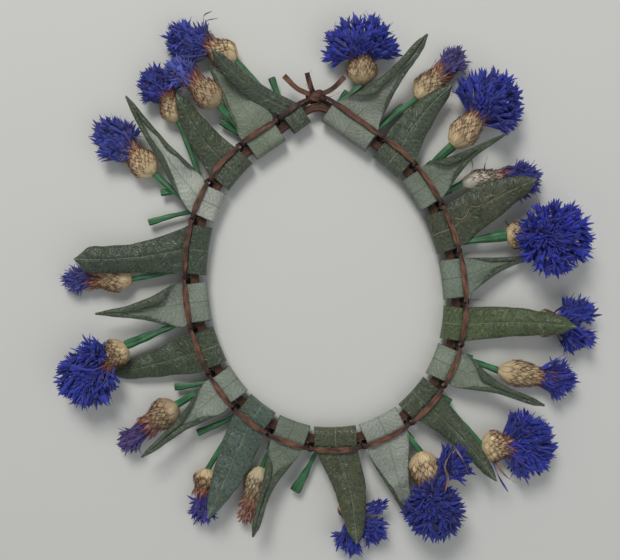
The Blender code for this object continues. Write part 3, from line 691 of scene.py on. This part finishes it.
def build_leaf(index, look):
    """A thin sheet folded over the core, with rolled edges, a midrib and small waves."""
    name, tint = look.name, look.tint
    rng = np.random.default_rng(100 + index)
    place, pitch, bulge = leaf_frame(index)
    knots, straight_reach = leaf_knots(look, pitch)
    path = smooth_path(knots, 9)
    out, height, half, front, back = path.T
    half = np.maximum(half, LEAST_HALF_WIDTH)
    front, back = np.clip(front, 0, 1), np.clip(back, 0, 1)
    run = run_along(path[:, :2])
    pale = look.face == "pale"
    up_side = 1.0 if pale else -1.0
    grown = smoothstep(0.01, 0.34, front)
    edge_line = stacked(run, 0.0)
    sides = []
    for rolled in (look.roll_cw, look.roll_ccw):
        wobble = 0.05 * waves(rng, edge_line, 0.014) + 0.02 * waves(rng, edge_line, 0.005)
        wobble = 1 + wobble * (front + back)
        band = rolled / 1000 * (1 + 0.22 * waves(rng, edge_line, 0.016))
        curl = CURL[look.face] * grown * (1 + 0.08 * waves(rng, edge_line, 0.014))
        sides.append(edge_roll(half * wobble, band, np.maximum(curl, 0.001), 13))
    across = np.hstack([-sides[0][0][:, :0:-1], sides[1][0]])
    lift = np.hstack([sides[0][1][:, :0:-1], sides[1][1]]) * up_side
    unrolled = np.hstack([-sides[0][2][:, :0:-1], sides[1][2]])

    rib = np.exp(-((across / RIB_WIDTH) ** 2)) * (smoothstep(0.0, 0.06, front) * (1 - 0.6 * front))[:, None]
    lift += rib * RIB_RISE[look.face]
    if not pale:
        lift -= GREEN_CAMBER * grown[:, None] * np.clip(np.abs(across) / half[:, None], 0, 1.2) ** 2
    grid = stacked(across, run[:, None])
    loose = smoothstep(0.0, 0.25, front)[:, None]
    lift += (WAVE[0] * waves(rng, grid, WAVE[1]) + RIPPLE[0] * waves(rng, grid, RIPPLE[1])) * loose
    crimp = np.exp(-((front[:, None] / 0.16) ** 2)) * smoothstep(0.005, 0.05, front)[:, None]
    lift += CRIMP[0] * crimp * waves(rng, grid * (1.0, 0.15), CRIMP[1])

    sideways = math.tan(math.radians(look.sweep))
    lean = np.where(front > 0, sideways * out + look.bow * np.sin(math.pi * front),
                    0.8 * sideways * out * smoothstep(0.0, 0.3, back))[:, None]
    fading = np.maximum(0, 1 - np.abs(out) / straight_reach)[:, None]
    bend = bulge * (1 - (2 * across / pitch) ** 2) * fading
    points = at(place, out[:, None] + bend, across + lean, height[:, None] + lift)

    upper = linear(tint if not pale else LEAF_UPPER_TINT)
    under = linear(tint if pale else LEAF_UNDER_TINT)
    places = stacked(unrolled, run[:, None]) * 100 + (0.0, PATTERN_SHIFT * index)
    edge = np.clip(np.abs(across) / half[:, None], 0, 1)
    # darker towards the edges, with tone that varies at random
    edge_darkening = 1 - 0.10 * edge**4 + 0.10 * waves(rng, grid, 0.02)
    own = under if pale else upper
    shape = Shape()
    shape.grid(points, own * edge_darkening[..., None], places)
    skins = (LEAF_UPPER_FAR, LEAF_UNDER) if pale else (LEAF_UNDER_FAR, LEAF_UPPER)
    piece = shape.build(f"{name}_blade", *skins, far_tint=upper if pale else under)
    thicken(piece, SHEET_THICKNESS, other_side=1)
    place_piece(piece, "root", "leaf_pale" if pale else "leaf_green", name)
    if name in SCARS:
        build_scar(name, rng, points, front)


def build_scar(name, rng, points, front):
    """A dry crack that follows a leaf's face."""
    first = int(np.argmax(front > 0)) - 1
    rows = np.arange(first, len(front))
    path = []
    for share, across in smooth_path(SCARS[name], 8):
        row = min(np.interp(share, front[first:], rows), len(front) - 1.001)
        column = across * (points.shape[1] - 1)
        upper, left = int(row), int(column)
        line = points[upper] + (points[upper + 1] - points[upper]) * (row - upper)
        path.append(line[left] + (line[left + 1] - line[left]) * (column - left))
    path = np.array(path) + (0, 0, SHEET_THICKNESS * 0.6)
    path = path + rng.normal(size=path.shape) * (0.00012, 0.00012, 0)
    shape = Shape()
    ribbon(shape, rng, path, 0.0004, 0.0003, SCAR_TAN, SCAR_DARK, np.full(len(path), 0.4), sides=10)
    place_piece(shape.build(f"{name}_crack", CUP_SCALE), "root", "leaf_green")


# ---- strips, core and knot
def strip_knots(first_leaf_in_front):
    """Points along a strip that changes sides in every gap."""
    side = 1.0 if first_leaf_in_front else -1.0
    half_turn = 0.0 if first_leaf_in_front else math.pi
    points = [at(gap_frame(0), 0.0, -LEAF_GAP / 2, CORE_LEVEL + side * STRIP_HALF_HEIGHT)]
    last_gap = len(GAP_ANGLES) - 1
    for gap in range(1, last_gap):
        place = gap_frame(gap)
        for share in (-0.5, -0.25, 0.0, 0.25, 0.5):
            turn = half_turn + math.pi * (gap - 0.5 + share)
            rise = STRIP_HALF_HEIGHT * math.cos(turn)
            points.append(at(place, STRIP_SWING * math.sin(turn), -share * LEAF_GAP, CORE_LEVEL + rise))
        if gap < last_gap - 1:
            over_leaf, _, bulge = leaf_frame(gap)
            points.append(at(over_leaf, bulge, 0.0, CORE_LEVEL + rise))
    last_side = -side if last_gap % 2 == 0 else side
    last = at(gap_frame(last_gap), 0.0, LEAF_GAP / 2, CORE_LEVEL + last_side * STRIP_HALF_HEIGHT)
    return [*points, last]


def ribbon(shape, rng, path, width, thickness, tint, dark, darkness, ridges=7, sides=30):
    """A fibrous strip: a flattened tube with lengthwise ridges and a wavering width and twist."""
    run = run_along(path)
    turn = turns(sides)
    line = stacked(run, 0.0)
    wide = width / 2 * (1 + 0.07 * waves(rng, line, 0.012) + 0.03 * waves(rng, line, 0.002))
    twist = 0.14 * waves(rng, line, 0.014)
    square = squareness(turn, 14)
    phase = rng.uniform(0, 6.28)
    ridge = 1 + 0.10 * np.cos(ridges * 2 * turn + phase + 0.6 * waves(rng, line, 0.02)[:, None])
    side_out = wide[:, None] * np.cos(turn) * square
    side_up = thickness / 2 * np.sin(turn) * square * ridge
    _, side, up = side_vectors(path)
    cos, sin = np.cos(twist)[:, None], np.sin(twist)[:, None]
    x, z = side_out * cos - side_up * sin, side_out * sin * 0.6 + side_up * cos
    points = path[:, None] + side[:, None] * x[..., None] + up[:, None] * z[..., None]
    share = darkness[:, None] + 0.22 * waves(rng, line, 0.045)[:, None]
    share = np.clip(share + 0.35 * waves(rng, stacked(run[:, None] * 0.25, turn * 0.0008), 0.0018), 0, 1)
    tints = linear(tint) * (1 - share[..., None]) + linear(dark) * share[..., None]
    shape.tube(points, tints, stacked(np.cos(turn) * 0.1, run[:, None] * 100))


def hairs(shape, rng, path, count, length, radius, tint):
    """Loose fibres that lift off a strip or lie beside it."""
    for _ in range(count):
        start = rng.integers(2, len(path) - 6)
        base = path[start] + rng.normal(size=3) * (0.0005, 0.0005, 0.0002)
        ahead = unit((path[start + 3] - path[start]) * (1, 1, 0.25)) * rng.choice((-1, 1))
        size = length * rng.uniform(0.5, 1.3)
        swing = rng.normal(size=3) * (0.35, 0.35, 0.10) + (0, 0, 0.08)
        line = np.array([base, base + ahead * size * 0.5 + swing * size * 0.2,
                         base + ahead * size + swing * size * 0.7])
        line = smooth_path(line, 4)
        taper = np.linspace(1.0, 0.35, len(line))[:, None] * radius
        shape.tube(round_section(line, taper, 5), linear(tint) * rng.uniform(0.7, 1.2),
                   (0.0, rng.uniform(0, 5)))


def gap_painted_shade(path):
    """How dark a strip is at each point: 0.25 over the leaves, rising to 0.9 at the stitches in the gaps,
    where the strips are darkest; the rise in the gaps is painted shade where the strips pass down between
    the leaves.
    """
    nearest = np.full(len(path), 1.0)
    for angle in GAP_ANGLES:
        nearest = np.minimum(nearest, np.linalg.norm((path - ring_point(angle))[:, :2], axis=1))
    return 0.25 + 0.65 * (1 - smoothstep(0.0015, 0.0060, nearest))


def build_strips():
    """The two binding strips, from one side of the knot round to the other."""
    for number, (name, in_front) in enumerate((("binding_strip_a", True), ("binding_strip_b", False))):
        rng = np.random.default_rng(300 + number)
        knots = strip_knots(in_front)
        centre = at(ring_frame(KNOT_ANGLE), STRIP_WIDTH / 2, 0.0, CORE_LEVEL)
        swing = np.array((0, 0, 0.0009)) * (1 if in_front else -1)
        knots = [centre, (centre + knots[0]) / 2 + swing, *knots, (centre + knots[-1]) / 2 - swing, centre]
        path = smooth_path(knots, 9)
        shape = Shape()
        # dark carries the painted shade of the gaps between the leaves
        dark = gap_painted_shade(path)
        width = STRIP_WIDTH * (1.34 - 0.36 * smoothstep(0.3, 0.8, dark))
        ribbon(shape, rng, path, width, BARK_THICKNESS, STRIP_TAN, STRIP_DARK, dark)
        hairs(shape, rng, path, 60, 0.006, HAIR_RADIUS, STRIP_TAN)
        piece = shape.build(f"{name}_fibre", BARK, crease=BARK_CREASE)
        place_piece(piece, "root", "binding_bark", name)


def build_core():
    """The bark band that the leaves are folded over."""
    rng = np.random.default_rng(310)
    angles = np.arange(0, 360, 0.9)
    path = np.array([ring_point(angle, -CORE_INSET) for angle in angles]) + UP * CORE_LEVEL
    turn = turns(26)
    square = squareness(turn, 6)
    around = stacked(np.cos(np.radians(angles)), np.sin(np.radians(angles)))
    wide = CORE_WIDTH / 2 * (0.96 + 0.04 * waves(rng, around, 0.25))
    ridge = 1 + 0.18 * np.cos(9 * turn)[None, :] * (0.6 + 0.4 * waves(rng, around, 0.2)[:, None])
    directions = unit(np.roll(path, -1, axis=0) - np.roll(path, 1, axis=0))
    side = unit(np.cross(directions, UP))
    x = wide[:, None] * np.cos(turn) * square
    z = CORE_THICKNESS / 2 * np.sin(turn) * square * ridge
    points = path[:, None] + side[:, None] * x[..., None] + z[..., None] * UP
    points = np.vstack([points, points[:1]])
    run = run_along(path)
    run = np.append(run, run[-1] + 0.001)
    places = stacked(np.cos(turn) * 0.17, run[:, None] * 100)
    tone = 1 + 0.25 * waves(rng, np.vstack([around, around[:1]]), 0.15)
    shape = Shape()
    shape.grid(points, linear(CORE_TAN) * tone[:, None, None], places, closed=True)
    piece = shape.build("core_band_bark", CORE_BARK, crease=BARK_CREASE)
    place_piece(piece, "root", "core_bark", "core_band")


KNOT_LOOPS = (  # tilt (radians), lean, size
    (0.15, 0.25, 1.02), (1.0, -0.25, 0.94), (-0.75, 0.15, 1.0), (0.5, -0.6, 0.85), (-0.2, 0.7, 0.9),
)


def build_knot():
    """A few loops of strip and its three cut ends."""
    rng = np.random.default_rng(320)
    place = ring_frame(KNOT_ANGLE)
    along_size, out_size, up_size = KNOT_SIZE
    shape = Shape()
    for tilt, lean, size in KNOT_LOOPS:
        turn = np.linspace(0, 2 * math.pi * 1.02, 40)
        along = np.cos(turn) * math.cos(tilt) * along_size / 2 * size - np.sin(turn) * lean * 0.0012
        out = np.cos(turn) * math.sin(tilt) * out_size / 2 * size + np.sin(turn) * lean * 0.0016
        up = np.sin(turn) * up_size / 2 * size
        loop = at(place, out + STRIP_WIDTH / 2, along, up + CORE_LEVEL)
        ribbon(shape, rng, loop, *KNOT_LOOP, STRIP_TAN, STRIP_DARK, np.full(len(loop), 0.5))
    start = at(place, STRIP_WIDTH / 2, 0.0, CORE_LEVEL)
    for (out, along), height in KNOT_TAILS:
        end = at(place, out, along, height)
        middle = at(place, out * 0.45, along * 0.62, (CORE_LEVEL + height) / 2 + 0.0014)
        tail = smooth_path([start, at(place, out * 0.2, along * 0.25, CORE_LEVEL + 0.0018), middle, end], 9)
        ribbon(shape, rng, tail, *KNOT_TAIL, STRIP_TAN, STRIP_DARK, np.full(len(tail), 0.45))
        hairs(shape, rng, tail, 5, 0.004, HAIR_RADIUS, STRIP_TAN)
    piece = shape.build("knot_wraps", BARK, crease=BARK_CREASE)
    place_piece(piece, "root", "binding_bark", "knot")


# ---- flowers
def head_axes(gap, aim, rise):
    """The head's own axes in the row frame: rows for along, sideways and up."""
    _, outward, along = gap_frame(gap)
    turn, lift = math.radians(aim), math.radians(rise)
    level = math.cos(turn) * outward + math.sin(turn) * along
    side = -math.sin(turn) * outward + math.cos(turn) * along
    return np.array((
        math.cos(lift) * level + math.sin(lift) * UP, side, math.cos(lift) * UP - math.sin(lift) * level,
    ))


STEM_STEPS = 8  # between the knots of a stem's path


def build_stem(flower):
    """A ridged stem from its cut end, hooked round the core, to the neck of its head."""
    number, cut_end = flower.number, flower.cut_end
    rng = np.random.default_rng(400 + int(number))
    place = gap_frame(flower.gap)
    under = flower.side * (LEAF_GAP / 2 + HOOK_INSET)
    knots = [
        at(place, cut_end[0], cut_end[1], CORE_LEVEL - STEM_SPREAD),
        at(place, (cut_end[0] + STRIP_WIDTH) / 2, (cut_end[1] + under) / 2, CORE_LEVEL - STEM_SPREAD),
        at(place, 0.0, under, CORE_LEVEL - STEM_SPREAD),
    ]
    knots += [at(place, out, under, height) for out, height in round_core(STEM_SPREAD)]
    waist = at(place, 0.0, under, CORE_LEVEL + STEM_SPREAD)
    end = at(place, *flower.neck)
    knots += [waist, waist + (end - waist) * 0.25, waist + (end - waist) * 0.6, end]
    path = smooth_path(knots, STEM_STEPS)
    run = run_along(path)
    line = stacked(run, 0.0)
    waist_run = run[-3 * STEM_STEPS - 1]
    past_waist = np.clip((run - waist_run) / (run[-1] - waist_run), 0, 1)
    radius = STEM_RADIUS + (flower.neck_radius - STEM_RADIUS) * smoothstep(0.15, 0.9, past_waist)
    radius = radius + STUB_SWELL * smoothstep(0.0060, 0.0020, run)
    radius = radius * (1 + 0.05 * waves(rng, line, 0.008))
    sides = 32
    turn = turns(sides)
    ridges = rng.integers(6, 9)
    ridge = 1 + 0.11 * np.cos(ridges * turn + 0.5 * waves(rng, line, 0.02)[:, None])
    flatten = 0.92 - 0.12 * smoothstep(0.3, 1.0, past_waist)
    rings = round_section(path, radius[:, None] * ridge, sides)
    widening = (STUB_SPREAD.get(number, STUB_SPREAD_USUAL) - 1) * smoothstep(0.0130, 0.0070, run)
    _, level, _ = side_vectors(path)
    level = level[:, None]
    sideways = ((rings - path[:, None]) * level).sum(axis=-1)
    rings = rings + level * (sideways * widening[:, None])[..., None]
    middle = path[:, None, 2]
    rings[..., 2] = middle + (rings[..., 2] - middle) * flatten[:, None]
    # painted shade: the skin is darker in the grooves between the stem's ridges
    groove_painted_shade = 0.78 + 0.22 * (ridge - 0.89) / 0.22
    tone = (1 + 0.22 * waves(rng, stacked(run[:, None], turn * 0.001), 0.009)) * groove_painted_shade
    places = stacked(turn * 0.05, run[:, None] * 100)
    shape = Shape()
    index = shape.grid(rings, linear(EMERALD) * tone[..., None], places, closed=True)
    shape.cap(index[-1], flip=True)
    dish = np.stack([rings[0] * (1 - inward) + path[0] * inward for inward in (0.92, 0.6, 0.12, 0.0)])
    dish[:2] += (path[1] - path[0]) * 0.25
    pith = linear(PITH) * np.array((0.5, 0.9, 1.0, 1.0))[:, None, None]
    cut = shape.grid(dish, pith, (0.0, 0.0), closed=True)
    shape.cap(cut[0])
    return shape.build(f"stem_{number}_skin", STEM_SKIN)


def cup_radius_at(share, radius):
    """The cup's radius from its neck (0) to its mouth (1)."""
    mouth = radius * MOUTH_SHARE
    shares = smooth_path([(0.0, NECK_RADIUS * 0.95), (0.10, radius * 0.66), (0.35, radius),
                          (0.65, radius * 0.92), (1.0, mouth), (1.25, mouth * 1.1)], 10)
    return np.interp(share, shares[:, 0], shares[:, 1])


def round_cup(forward, around, angle):
    """Points round the cup's line: forward, and at a distance and an angle from it."""
    return stacked(forward, around * np.cos(angle), around * np.sin(angle) * CUP_PRESS)


def add_scale(shape, rng, flower, position, count, base, dry, tint, scale):
    """One scale, with a fringe of five teeth; dry goes from 0 near the neck to 1 at the mouth."""
    middle = 2 * math.pi * position / count + rng.normal() * 0.09
    size = (0.40 + 0.04 * dry) * rng.uniform(0.85, 1.15)
    flare = rng.uniform(-0.1, 1.0) * (0.3 + 1.4 * dry)
    along = np.linspace(0, 1, 9)[:, None]
    column = np.linspace(-1, 1, 7)[None, :]
    taper = np.interp(along, (0, 0.30, 0.6, 0.85, 1.0), (0.8, 1.0, 0.72, 0.30, 0.03))
    angle = middle + column * 2 * math.pi / count * (0.74 - 0.2 * dry) * taper
    share = base + along * size + 0 * column
    lifted = 0.00008 + 0.00030 * along**1.6 - 0.00020 * column**2 * (1 - along)
    lifted = lifted + 0.0008 * flare * smoothstep(0.55, 1.0, along)
    around = cup_radius_at(np.clip(share, 0, 1.25), flower.cup_radius) + lifted
    points = round_cup(share * flower.cup_length, around, angle)
    dark_tip = smoothstep(0.68, 0.98, along) * (0.75 + 0.25 * dry)
    edge = smoothstep(0.6, 1.0, np.abs(column)) * smoothstep(0.25, 0.6, along)
    rim = 0.75 * np.clip(dark_tip + 0.75 * edge + 0.35 * dry * along, 0, 1)[..., None]
    brown = linear(BRACT_BROWN) * (1 - dry) + linear(BRACT_RED) * dry
    pink = np.array((1.0, 1 - 0.18 * dry, 1 - 0.16 * dry))
    pale = tint * pink * rng.uniform(0.8, 1.2)
    shape.grid(points, pale * (1 - rim) + brown * rim, stacked(column * 0.12, along * 0.4 + scale))
    outward = round_cup(0.0, 1.0, middle)
    sideways = np.array((0.0, -math.sin(middle), math.cos(middle) * CUP_PRESS))
    across = sideways * 0.00011
    for spot, lean in (((6, 1), -1.0), ((7, 2), -0.5), ((8, 3), 0.0), ((7, 4), 0.5), ((6, 5), 1.0)):
        root = points[spot]
        tip = root + np.array((0.0010, 0, 0)) * rng.uniform(0.5, 1.4) * (1 + dry)
        tip = tip + outward * rng.uniform(0.0, 0.0006) + sideways * lean * 0.0006
        bend = (root + tip) / 2 + outward * 0.0001
        tooth = np.array([[root - across, root + across], [bend - across * 0.7, bend + across * 0.7],
                          [tip - across * 0.15, tip + across * 0.15]])
        shape.grid(tooth, brown * rng.uniform(0.6, 1.5), (0.0, 0.0))


def build_cup(flower, origin, axes):
    """A cornflower's cup: an ovoid of overlapping scales with dark, fringed edges."""
    number = flower.number
    rng = np.random.default_rng(500 + int(number))
    tint = linear(CUP_TINTS.get(number, STRAW)) * (1.0 + 0.12 * rng.normal())
    shape = Shape(origin, axes)
    share = np.linspace(0.0, 1.0, 14)[:, None]
    inner = cup_radius_at(share, flower.cup_radius) * 0.9
    shape.tube(round_cup(share * flower.cup_length, inner, turns(20)), linear(BRACT_BROWN), (0.0, 0.0))
    for row in range(SCALE_ROWS):
        base = -0.03 + 0.90 * row / (SCALE_ROWS - 1)
        count = 10 if row == 0 else SCALES_PER_ROW
        dry = smoothstep(SCALE_ROWS - 4.5, SCALE_ROWS - 1.5, row)
        for scale in range(count):
            add_scale(shape, rng, flower, scale + 0.5 * (row % 2), count, base, dry, tint, scale)
    piece = shape.build(f"cup_{number}_scales", CUP_SCALE)
    thicken(piece, SCALE_SHEET)
    return piece


def add_floret(shape, rng, base, target, length, flare, lobes, tint):
    """A trumpet-shaped floret: a thin tube from the cup that opens into pointed lobes."""
    line = target - base
    reach = np.linalg.norm(line)
    bow = rng.normal(size=3) * (0.12, 0.12, 0.08) * reach
    path = smooth_path([base, base + line * 0.5 + bow, target], 4)
    direction = unit(path[-1] - path[-2])
    side = unit(np.cross(direction, rng.normal(size=3) * 0.3 + UP))
    up = np.cross(side, direction)
    turn = turns(7)
    share = np.linspace(0, 1, len(path))
    radius = 0.00022 + flare * 0.28 * share**3
    ring = path[:, None] + radius[:, None, None] * (
        side * np.cos(turn)[:, None] + up * np.sin(turn)[:, None])
    shade = linear(tint) * rng.uniform(0.42, 1.2)
    fade = smoothstep(0.05, 0.55, share)[:, None, None]
    shape.grid(ring, linear(THROAT) * (1 - fade) + shade * fade, (0.0, 0.0), closed=True)
    t = np.linspace(0, 1, 6)[:, None]
    column = np.array((-1.0, 0.0, 1.0))[None, :]
    for lobe in range(lobes):
        angle = 2 * math.pi * (lobe + rng.uniform(-0.25, 0.25)) / lobes
        radial = side * math.cos(angle) + up * math.sin(angle)
        tangent = -side * math.sin(angle) + up * math.cos(angle)
        size = length * rng.uniform(0.65, 1.2)
        open_angle = rng.uniform(0.10, 0.80)
        curl = rng.uniform(-0.5, 0.6)
        lean = rng.normal() * 0.15
        ahead = size * (t * math.cos(open_angle) - 0.3 * curl * t**2)
        out = size * (t * math.sin(open_angle) + 0.35 * curl * t**2)
        wide = length * 0.115 * np.interp(t, (0, 0.3, 0.6, 0.85, 1.0), (0.9, 1.15, 1.0, 0.6, 0.05))
        fold = rng.uniform(-0.8, 1.2) * wide * np.abs(column)
        crumple = rng.normal(size=(6, 3)) * length * 0.012
        points = (path[-1] + radial * (flare * 0.22 + out + 0 * column)[..., None]
                  + direction * (ahead + fold + crumple)[..., None]
                  + tangent * (wide * column + lean * size * t)[..., None])
        points[..., 2] = target[2] + (points[..., 2] - target[2]) * FLORET_PRESS
        tone = shade * rng.uniform(0.8, 1.2)
        # painted highlight: each lobe grows lighter towards its tip
        tip = linear(tint) * 1.7
        tints = tone * (1 - 0.4 * t[..., None]) + tip * 0.4 * t[..., None] + 0 * column[..., None]
        shape.grid(points, tints, stacked(column * 0.12, t * 0.5 + lobe))


def stray(shape, rng, knots, width, tint):
    """A loose curled strand: a thin tapering strip through the given points."""
    path = smooth_path(knots, 6)
    _, side, up = side_vectors(path)
    share = np.linspace(0, 1, len(path))
    wide = width / 2 * np.sin(math.pi * np.clip(0.12 + 0.86 * share, 0, 1))[:, None]
    roll = (rng.uniform(0, 1.5) + 2.0 * share)[:, None]
    across = side * np.cos(roll) * wide + up * np.sin(roll) * wide
    points = np.stack([path - across, path + up * width * 0.15, path + across], axis=1)
    tone = linear(tint) * (1 + 0.25 * np.sin(9 * share))[:, None, None]
    shape.grid(points, tone, stacked(np.array((-0.1, 0, 0.1)), share[:, None]))


def add_main_tuft(shape, rng, flower, origin, axes):
    """Long outer trumpets and a crowded tuft of small inner ones."""
    radius, length, cup_length = flower.radius, flower.length, flower.cup_length
    mouth = flower.cup_radius * MOUTH_SHARE * 0.7
    split = SPLIT_BLOOMS.get(flower.number, 0)
    facing = flower.fan >= 180
    root = np.array((cup_length * 0.92, 0.0, 0.0))
    shift = BLOOM_SHIFT.get(flower.number, 0.0)
    centre = np.array((cup_length + length * flower.centre_share, shift, 0.0030 if facing else 0.0))
    if facing:
        root = centre + (-length * 0.18, 0.0, -radius * 0.1)
    for kind, count in (("outer", round(flower.outer * OUTER_CROWDING)),
                        ("inner", round(flower.inner * INNER_CROWDING))):
        for number in range(count):
            turn = 2 * ((number * 0.618 + rng.uniform(0, 0.1)) % 1.0) - 1
            angle = math.radians(math.copysign(split + (flower.fan - split) * abs(turn), turn))
            level = rng.uniform(-1, 1)
            if kind == "outer":
                depth, lift = rng.uniform(0.80, 1.05), level * 0.75
            else:
                depth = rng.uniform(0.15, 0.72) * ((number + 0.5) / count) ** 0.2
                lift = 0.15 + 0.75 * abs(level)
            if facing:
                forward = radius
            elif math.cos(angle) > 0:
                forward = max(cup_length + length - centre[0], radius * 0.5)
            else:
                forward = max(centre[0] - cup_length + 0.35 * length, radius * 0.5)
            target = centre + (forward * math.cos(angle) * depth, radius * math.sin(angle) * depth,
                               BLOOM_PRESS * radius * lift)
            spread = rng.normal(size=2) * 0.5
            base = root + (0.0, spread[0] * mouth, spread[1] * mouth * CUP_PRESS)
            size, flare = OUTER_FLORET if kind == "outer" else INNER_FLORET
            lobes = int(rng.integers(6, 9)) if kind == "outer" else 5
            size *= min(1.0, 0.55 + radius / 0.022)
            spot = target - unit(target - base) * size * 0.75
            warm = WARM_SHIFT if rng.uniform() <= WARM_SHARE else 1.0
            add_floret(shape, rng, origin + base @ axes, origin + spot @ axes, size, flare, lobes,
                       np.clip(np.array(flower.tint) * warm, 0, 255))


def add_side_tuft(shape, rng, flower, origin, axes):
    """A smaller tuft of even florets that leans out beside the main one."""
    forward, sideways, lift, radius, count = SIDE_TUFTS[flower.number]
    length, flare = TUFT_FLORET
    for number in range(count):
        angle = number * 2.4
        depth = math.sqrt((number + 0.5) / count) * 0.8
        offset = np.array((math.cos(angle) * depth, math.sin(angle) * depth, 0.5 * (1 - depth))) * radius
        spot = np.array((forward, sideways, lift)) + offset
        base = np.array((flower.cup_length * 0.95, sideways * 0.15, 0.0))
        add_floret(shape, rng, origin + base @ axes, origin + spot @ axes,
                   length * min(1.0, radius / 0.006), flare, 6, flower.tint)


def build_bloom(flower, origin, axes):
    """All of a head's florets and loose strands."""
    rng = np.random.default_rng(600 + int(flower.number))
    shape = Shape()
    add_main_tuft(shape, rng, flower, origin, axes)
    if flower.number in SIDE_TUFTS:
        add_side_tuft(shape, rng, flower, origin, axes)
    for owner, width, tint, knots in STRAYS:
        if owner == flower.number:
            stray(shape, rng, origin + np.array(knots) / 1000 @ axes, width / 1000, tint)
    piece = shape.build(f"bloom_{flower.number}_florets", PETAL)
    thicken(piece, FLORET_SHEET)
    return piece


def build_flower(flower):
    number = flower.number
    origin = at(gap_frame(flower.gap), *flower.neck)
    axes = head_axes(flower.gap, flower.aim, flower.rise)
    body = f"flower_{number}" if f"flower_{number}" in frame["bodies"] else "root"
    stem = build_stem(flower)
    cup = build_cup(flower, origin, axes)
    bloom = build_bloom(flower, origin, axes)
    if number in FUSED_FLOWERS:
        place_piece(bloom, "root", "petals", f"cornflower_{number}")
        place_piece(stem, "root", "stem")
    else:
        place_piece(bloom, body, "petals", f"head_{number}")
        place_piece(stem, "root", "stem", f"stem_{number}")
    place_piece(cup, body, "flower_cup")


# ---- stage
def build_stage():
    """The floor, the sky, two lamps and the camera."""
    scene = bpy.context.scene
    scene.view_settings.view_transform = "Standard"
    mesh = bpy.data.meshes.new("floor")
    corners = [(x * FLOOR_HALF, y * FLOOR_HALF, 0) for x, y in ((-1, -1), (1, -1), (1, 1), (-1, 1))]
    mesh.from_pydata(corners, [], [(0, 1, 2, 3)])
    floor = bpy.data.objects.new("floor", mesh)
    floor.location.z = -FLOOR_DROP
    scene.collection.objects.link(floor)
    material = bpy.data.materials.new("floor_paint")
    material.use_nodes = True
    shader = material.node_tree.nodes["Principled BSDF"]
    shader.inputs["Base Color"].default_value = (*linear(FLOOR_TINT), 1.0)
    shader.inputs["Roughness"].default_value = 0.9
    shader.inputs["Specular IOR Level"].default_value = 0.1
    mesh.materials.append(material)

    world = bpy.data.worlds.new("studio")
    world.use_nodes = True
    sky = world.node_tree.nodes["Background"]
    sky.inputs["Color"].default_value = SKY_TINT
    sky.inputs["Strength"].default_value = SKY_STRENGTH
    scene.world = world
    for name, spot, size, power, tint in LAMPS:
        light = bpy.data.lights.new(name, "AREA")
        light.size = size
        light.energy = power
        light.color = tint
        lamp = bpy.data.objects.new(name, light)
        lamp.location = spot
        lamp.rotation_euler = (-Vector(spot)).to_track_quat("-Z", "Y").to_euler()
        scene.collection.objects.link(lamp)

    camera = bpy.data.objects.new("camera", bpy.data.cameras.new("camera"))
    camera.data.sensor_width = 36.0
    camera.data.lens = CAMERA_LENS
    camera.data.clip_start = 0.01
    camera.location = CAMERA_PLACE
    scene.collection.objects.link(camera)
    scene.camera = camera


def main():
    # what a new Blender scene starts with, where there is any
    for old in ("Cube", "Light", "Camera"):
        if old in bpy.data.objects:
            bpy.data.objects.remove(bpy.data.objects[old])
    build_stage()
    build_core()
    build_strips()
    build_knot()
    for index, look in enumerate(LEAVES):
        build_leaf(index, look)
    for flower in FLOWERS:
        build_flower(flower)


main()
